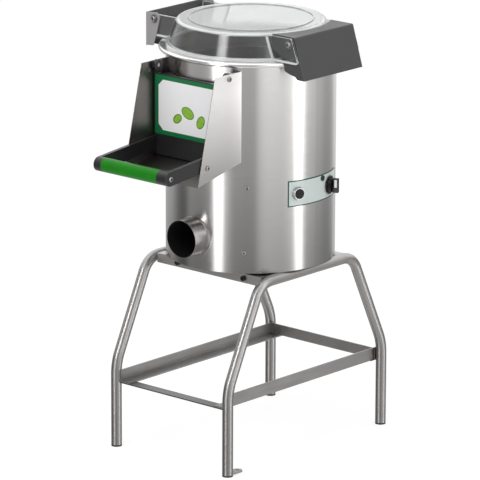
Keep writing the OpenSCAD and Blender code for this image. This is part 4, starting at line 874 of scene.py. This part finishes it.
def inside_plate(tree, axes):
    bearing = (PLATE_START + PLATE_END) / 2
    level = (plate_low.z + plate_high.z) / 2
    around = reckon(tree, axes["Y"], ("ARCTAN2", axes["X"]), ("SUBTRACT", bearing), ("ABSOLUTE",))
    upright = reckon(tree, axes["Z"], ("SUBTRACT", level), ("ABSOLUTE",))
    side = reckon(tree, PLATE_END - bearing, ("SUBTRACT", around), ("MULTIPLY", DRUM_RADIUS))
    end = reckon(tree, plate_high.z - level, ("SUBTRACT", upright))
    return reckon(tree, side, ("MINIMUM", end), ("SUBTRACT", PLATE_BORDER))


print("label", [round(v / MM) for v in label_high - label_low], "mm")

# %% [markdown]
# The label's design says what goes in at the top and comes out here: three
# potatoes, plain ovals that lean three ways, each with a dark rim and three
# eyes. An oval is a circle in stretched and turned coordinates, so a point is
# inside where the squares of its two shares add up to less than one.

# %% Potatoes for the label
POTATOES = [(-38, -26, 15, 35), (-6, -8, 20, -20), (34, -24, 17, 60)]
POTATO_SLIM = 0.68
POTATO_RIM_MM = 2.4
EYES = (-0.4, 0.15, 0.5)
EYE_FALL = 0.3
EYE_HALF_MM = (1.4, 1.0)


def oval(tree, axes, centre_mm, half_mm, lean_deg):
    turned = math.radians(lean_deg)
    along = reckon(tree, axes["X"], ("SUBTRACT", centre_mm[0] * MM))
    over = reckon(tree, axes["Z"], ("SUBTRACT", centre_mm[1] * MM))
    squares = []
    for cosine, sine, half in ((math.cos(turned), math.sin(turned), half_mm[0]),
                               (-math.sin(turned), math.cos(turned), half_mm[1])):
        lifted = reckon(tree, over, ("MULTIPLY", sine))
        share = reckon(tree, along, ("MULTIPLY", cosine), ("ADD", lifted), ("DIVIDE", half * MM))
        squares.append(reckon(tree, share, ("MULTIPLY", share)))
    return reckon(tree, squares[0], ("ADD", squares[1]), ("LESS_THAN", 1.0))


def potatoes(tree, axes):
    middle = (label_low + label_high) / 2 / MM
    drawn = []
    for aside, lift, size, lean_deg in POTATOES:
        x, z = middle.x + aside, middle.z + lift
        for hex_colour, rim in (("#3f8a1c", 0), ("#8fbf3a", POTATO_RIM_MM)):
            half = (size - rim, POTATO_SLIM * size - rim)
            drawn.append((oval(tree, axes, (x, z), half, lean_deg), hex_colour))
        for eye in EYES:
            at = (x + eye * size, z - EYE_FALL * eye * size)
            drawn.append((oval(tree, axes, at, EYE_HALF_MM, 0), "#2c6e18"))
    return drawn


label_film = printed_film("printed_label_film", "#f6f5f7", "#127140", inside_label, potatoes)
print("the label shows", len(POTATOES), "potatoes")

# %% [markdown]
# Round the timer's knob stand twelve plain marks without figures, like minutes
# on a clock. A mark is where two things hold: the distance from the knob's axis
# lies in a narrow band, and the turn round it is close to a whole twelfth.

# %% Dial marks for the plate
DIAL_LEVEL = 638.0 * MM
MARK_TURN = 2 * math.pi / 12
MARK_HALF_WIDTH = 0.45 * MM
MARK_INNER = 23.5 * MM
MARK_OUTER = 26.5 * MM
DARK_GREEN_INK = "#14503c"


def dial_marks(tree, axes):
    along = reckon(tree, axes["Y"], ("ARCTAN2", axes["X"]),
                   ("SUBTRACT", math.radians(TIMER_BEARING)), ("MULTIPLY", DRUM_RADIUS))
    over = reckon(tree, axes["Z"], ("SUBTRACT", DIAL_LEVEL))
    square = reckon(tree, over, ("MULTIPLY", over))
    away = reckon(tree, along, ("MULTIPLY", along), ("ADD", square), ("SQRT",))
    from_half = reckon(tree, over, ("ARCTAN2", along), ("DIVIDE", MARK_TURN), ("FRACT",),
                       ("SUBTRACT", 0.5), ("ABSOLUTE",))
    off_mark = reckon(tree, 0.5, ("SUBTRACT", from_half), ("MULTIPLY", MARK_TURN),
                      ("MULTIPLY", away))
    thin = reckon(tree, off_mark, ("LESS_THAN", MARK_HALF_WIDTH))
    within = reckon(tree, away, ("LESS_THAN", MARK_OUTER))
    band = reckon(tree, away, ("GREATER_THAN", MARK_INNER), ("MULTIPLY", within))
    return [(reckon(tree, thin, ("MULTIPLY", band)), DARK_GREEN_INK)]


plate_film = printed_film("printed_control_film", "#d0d9d7", DARK_GREEN_INK, inside_plate,
                          dial_marks)
print("dial marks every", round(math.degrees(MARK_TURN)), "degrees")

# %% [markdown]
# ## Give the CAD pieces their finishes
#
# Each line below is one finish and the pieces that are made of it.

# %% Assign the finishes
FINISHES = [
    (drum_sheet, ["drum_shell", "pan_floor", "drum_floor", "drive_plate"]),
    (flat_sheet, ["chute", "electrics_tray"]),
    (plate_steel, ["stand_top_plate"]),
    (rim_steel, ["rim_ring"]),
    (pipe_steel, ["drain_elbow"]),
    (tube_steel, ["stand_left_frame", "stand_right_frame"]),
    (bar_steel, ["ledge_angles", "rear_stop_strip", "floor_tab"]),
    (strip_steel, ["front_tie_strip"]),
    (black_steel, ["buffer_bolts"]),
    (screw_steel, ["levelling_screw", "chute_screws", "casing_screws",
                   "hinge_bolts", "latch_bolts", "handle_screws", "disc_knob",
                   "spindle_shaft", "motor_rotor", "spindle_bearings"]),
    (cover_paint, ["latch_cover"]),
    (bracket_paint, ["hinge_bracket"]),
    (door_paint, ["door_panel"]),
    (motor_paint, ["motor_case"]),
    (black_nylon, ["tube_plugs", "hinge_blocks", "lid_switch", "door_switch", "cable_gland"]),
    (knob_plastic, ["timer_knob"]),
    (button_plastic, ["start_button"]),
    (sleeve_plastic, ["handle_sleeve"]),
    (ivory_plastic, ["timer_body", "contactor", "terminal_block"]),
    (black_rubber, ["drum_buffers", "lid_seal", "door_gasket", "lip_seal", "drive_belt"]),
    (magnet_ferrite, ["latch_magnet"]),
    (lid_plastic, ["lid_dome"]),
    (lens_plastic, ["pilot_lamp"]),
    (chrome, ["button_switch"]),
    (cast_aluminium, ["bearing_housing", "driven_pulley", "motor_pulley", "abrasive_disc",
                      "motor_capacitor"]),
    (machined_brass, ["water_inlet"]),
    (grit, ["wall_lining", "disc_coat"]),
    (label_film, ["door_label"]),
    (plate_film, ["control_plate"]),
]


def dress(mesh, material):
    for index in range(len(mesh.materials)):
        mesh.materials[index] = material
    if not mesh.materials:
        mesh.materials.append(material)


dressed = set()
for material, names in FINISHES:
    for name in names:
        dress(frame["nodes"][name].data, material)
        dressed.add(name)
print("dressed", len(dressed), "of", len(frame["nodes"]), "pieces;",
      "left bare:", sorted(set(frame["nodes"]) - dressed))

# %% [markdown]
# ## Small pieces from the workshop
#
# A solid model keeps screws and welds plain. The next cells add what the hand
# adds last. Each piece is built straight in the machine's own coordinates, in
# millimetres, and then rides on the body that it belongs to, so it moves with
# its joint.

# %% Turn a bmesh into a riding piece
def new_piece(name, work, materials, body):
    mesh = bpy.data.meshes.new(name)
    bmesh.ops.recalc_face_normals(work, faces=work.faces)
    for face in work.faces:
        face.smooth = True
    work.to_mesh(mesh)
    work.free()
    for material in materials:
        mesh.materials.append(material)
    piece = new_object(name, mesh)
    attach(piece, body)


def skin(work, rows, closed_rows=True, closed_columns=False):
    columns = len(rows[0])
    for i in range(len(rows) - (0 if closed_columns else 1)):
        here, following = rows[i], rows[(i + 1) % len(rows)]
        for j in range(columns - (0 if closed_rows else 1)):
            k = (j + 1) % columns
            work.faces.new((here[j], here[k], following[k], following[j]))


# %% [markdown]
# ### The weld round the drain pipe
#
# The pipe passes through a hole in the drum and is welded all round from the
# outside. The bead follows the saddle line where the two cylinders meet: for
# each angle round the pipe, the drum's surface gives the depth. At the pipe's
# sides the drum falls back, and the welder builds the bead up until it stands
# in front of the drum's foremost line. A real bead is laid as a row of
# overlapping drops, so its section swells and shrinks every few millimetres.

# %% Drain pipe weld
DRUM_OUTSIDE = 200.0
BEAD_STEPS = 320
BEAD_DROPS = 80
BEAD_SWELL = 0.35
BEAD_SUNK = 0.3
BUILT_UP = 0.6
BEAD_SECTION = [(2.4, 0.0), (1.9, 0.8), (1.4, 1.5), (0.8, 2.1), (0.1, 2.7)]


def drum_front(x_mm):
    return -math.sqrt(DRUM_OUTSIDE ** 2 - x_mm ** 2)


work = bmesh.new()
rows = []
for step in range(BEAD_STEPS):
    angle = 2 * math.pi * step / BEAD_STEPS
    swell = BEAD_SWELL * abs(math.sin(0.5 * BEAD_DROPS * angle))
    row = []
    for out, forth in BEAD_SECTION:
        radius = PIPE_RADIUS_MM + out
        x = radius * math.cos(angle)
        y = drum_front(x) + BEAD_SUNK
        if forth:
            y = min(drum_front(x) - forth, -DRUM_OUTSIDE - BUILT_UP * forth) - swell
        z = PIPE_LEVEL_MM + radius * math.sin(angle)
        row.append(work.verts.new(Vector((x, y, z)) * MM))
    rows.append(row)
skin(work, rows, closed_rows=False, closed_columns=True)
new_piece("drain_weld_bead", work, [weld], "machine")
print("drain weld:", BEAD_STEPS, "steps,", BEAD_DROPS, "drops")

# %% [markdown]
# ### Straight welds
#
# The ledges are tacked to the inner side of each leg with two short upright
# beads, and the strips across them with a bead along their ends. At the back of
# the drum one long bead closes its seam. One function lays a straight bead
# between two points, round in section, with drops along it and thin ends.

# %% Lay a straight bead
RUN_STEP = 0.65
DROP_WAVE = 0.18
THIN_END = 0.25


def lay_bead(work, start_mm, end_mm, radius, drop=2.6, sides=8):
    start_at, end_at = Vector(start_mm), Vector(end_mm)
    run = end_at - start_at
    steps = max(4, int(run.length / RUN_STEP))
    aside = run.orthogonal().normalized()
    upright = run.normalized().cross(aside)
    rows = []
    for step in range(steps + 1):
        share = step / steps
        wave = 1 - DROP_WAVE + DROP_WAVE * abs(math.sin(math.pi * share * run.length / drop))
        thin = THIN_END if step in (0, steps) else 1.0
        row = []
        for side in range(sides):
            angle = 2 * math.pi * side / sides
            arm = math.cos(angle) * aside + math.sin(angle) * upright
            row.append(work.verts.new((start_at + share * run + radius * wave * thin * arm) * MM))
        rows.append(row)
    skin(work, rows)
    work.faces.new(rows[0])
    work.faces.new(rows[-1])


print("a drop swells the bead by", round(100 * DROP_WAVE), "%")

# %% [markdown]
# The tacks sit in the corner between a leg and its ledge, sunk a little into
# the steel as molten metal is, and stop short of the ledge's edges. Each tack
# is a distance behind the leg's front and a radius. The seam runs up the back
# of the drum, clear of the floor below and the rim above.

# %% Stand and seam welds
LEG_INSIDE = 163.3
LEG_FRONT = 277.0
LEDGE_LOW = 160.0
LEDGE_HIGH = 190.0
STRIP_EDGE = 250.0
TACKS = ((3.0, 2.4), (9.5, 1.8))
TACK_SUNK = 0.2
TACK_SHORT = 1.0
STRIP_BEAD = 1.6
STRIP_BEAD_DROP = 0.4
STRIP_BEAD_ENDS = (3.0, 4.0)
SEAM_ANGLE = math.radians(72)
SEAM_LOW = 455
SEAM_HIGH = 945
SEAM_BEAD = 1.4

work = bmesh.new()
for x_side in (-1, 1):
    for y_side in (-1, 1):
        for behind, bead in TACKS:
            x = x_side * (LEG_INSIDE + TACK_SUNK)
            y = y_side * (LEG_FRONT - behind)
            lay_bead(work, (x, y, LEDGE_LOW + TACK_SHORT), (x, y, LEDGE_HIGH - TACK_SHORT), bead)
        x = x_side * (LEG_INSIDE - TACK_SHORT)
        z = LEDGE_LOW - STRIP_BEAD_DROP
        lay_bead(work, (x, y_side * (STRIP_EDGE + STRIP_BEAD_ENDS[0]), z),
                 (x, y_side * (LEG_FRONT - STRIP_BEAD_ENDS[1]), z), STRIP_BEAD)
new_piece("ledge_weld_beads", work, [burnt_weld], "machine")

work = bmesh.new()
seam = DRUM_OUTSIDE * Vector((math.cos(SEAM_ANGLE), math.sin(SEAM_ANGLE)))
lay_bead(work, (*seam, SEAM_LOW), (*seam, SEAM_HIGH), SEAM_BEAD, drop=2.2, sides=6)
new_piece("drum_seam_weld", work, [weld], "machine")
print("stand welds at", 2 * 2 * len(TACKS), "places, seam", SEAM_HIGH - SEAM_LOW, "mm long")

# %% [markdown]
# ### Screw heads
#
# The machine is held together with button-head socket screws. Such a head is
# turned from bar and its hexagonal socket is punched in. The head is drawn as a
# profile spun round the screw's axis, with its top left open, and a six-sided
# well closes it. The well is too shallow to shade itself, so it gets its own dark
# material as painted shade.

# %% Button-head screws
HEAD_SIDES = 36
HEAD_SHOULDER = 0.15
SHOULDER_RISE = 0.92
CROWN = [(0.95, 0.06), (0.80, 0.16), (0.62, 0.22)]
WELL_FLOOR = 0.05
socket_shade = moulded("screw_socket_painted_shade", "#1c1b1b", "#121111", 0.5)


def button_head(work, centre_mm, axis, radius, height, socket):
    centre = Vector(centre_mm)
    axis = Vector(axis).normalized()
    aside = axis.orthogonal().normalized()
    upright = axis.cross(aside)

    def hexagon(angle):
        part = (angle + math.pi / 6) % (math.pi / 3) - math.pi / 6
        return socket * math.cos(math.pi / 6) / math.cos(part)

    def ring_at(level, spun=None):
        made = []
        for side in range(HEAD_SIDES):
            angle = 2 * math.pi * side / HEAD_SIDES
            arm = math.cos(angle) * aside + math.sin(angle) * upright
            out = spun or hexagon(angle)
            made.append(work.verts.new((centre + out * arm + level * axis) * MM))
        return made

    rings = [ring_at(0.0, radius + HEAD_SHOULDER),
             ring_at(height * SHOULDER_RISE, radius + HEAD_SHOULDER)]
    rings += [ring_at(height + rise * radius, radius * out) for out, rise in CROWN]
    rings += [ring_at(height + CROWN[-1][1] * radius), ring_at(height + WELL_FLOOR)]
    skin(work, rings)
    work.faces.new(rings[-1])
    for face in work.faces:
        if all(v in rings[-1] or v in rings[-2] for v in face.verts):
            # the well's faces take the painted shade
            face.material_index = 1


print("a head has", HEAD_SIDES, "sides")

# %% [markdown]
# Each head is a place, the way it faces, and its radius, height and socket in
# millimetres. The casing screws stand in two rows of three round the drum. The
# heads of the hinge, the latch and the handle sit on bolts from the CAD model,
# so their places are read from those bolts' boxes.

# %% Place the screw heads
CHUTE_SIDE = 115
CHUTE_SCREWS = [(-207, 924, (6.4, 3.0, 2.9)), (-281, 727.9, (5.6, 3.0, 2.6))]
CASING_ROWS = [(-53, 502.8), (-51, 658.0)]
CASING_HEAD = (5.0, 3.0, 2.2)
HANDLE_SIDE = 112
HANDLE_HEAD = (6.0, 2.5, 3.4)
EAR_HEAD = (6.4, 4.0, 3.0)

machine_heads = [((side * CHUTE_SIDE, y, z), (side, 0, 0), *size)
                 for y, z, size in CHUTE_SCREWS for side in (-1, 1)]
for first_deg, level in CASING_ROWS:
    for third in range(3):
        angle = math.radians(first_deg + 120 * third)
        out = Vector((math.cos(angle), math.sin(angle), 0))
        machine_heads.append(((*(DRUM_OUTSIDE * out).xy, level), out, *CASING_HEAD))


def ear_heads(node):
    low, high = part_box(node)
    middle = (low + high) / 2 / MM
    face = high.y / MM - EAR_HEAD[1]
    return [((middle.x, side * face, middle.z), (0, side, 0), *EAR_HEAD) for side in (-1, 1)]


machine_heads += ear_heads("hinge_bolts")
handle_low, handle_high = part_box("handle_screws")
bar = (handle_low + handle_high) / 2 / MM
handle_heads = [((side * HANDLE_SIDE, bar.y, bar.z), (side, 0, 0), *HANDLE_HEAD)
                for side in (-1, 1)]
for name, heads, body in [("machine_screw_heads", machine_heads, "machine"),
                          ("handle_screw_heads", handle_heads, "door"),
                          ("latch_screw_heads", ear_heads("latch_bolts"), "lid")]:
    work = bmesh.new()
    for head in heads:
        button_head(work, *head)
    new_piece(name, work, [screw_steel, socket_shade], body)
    print(name, len(heads))
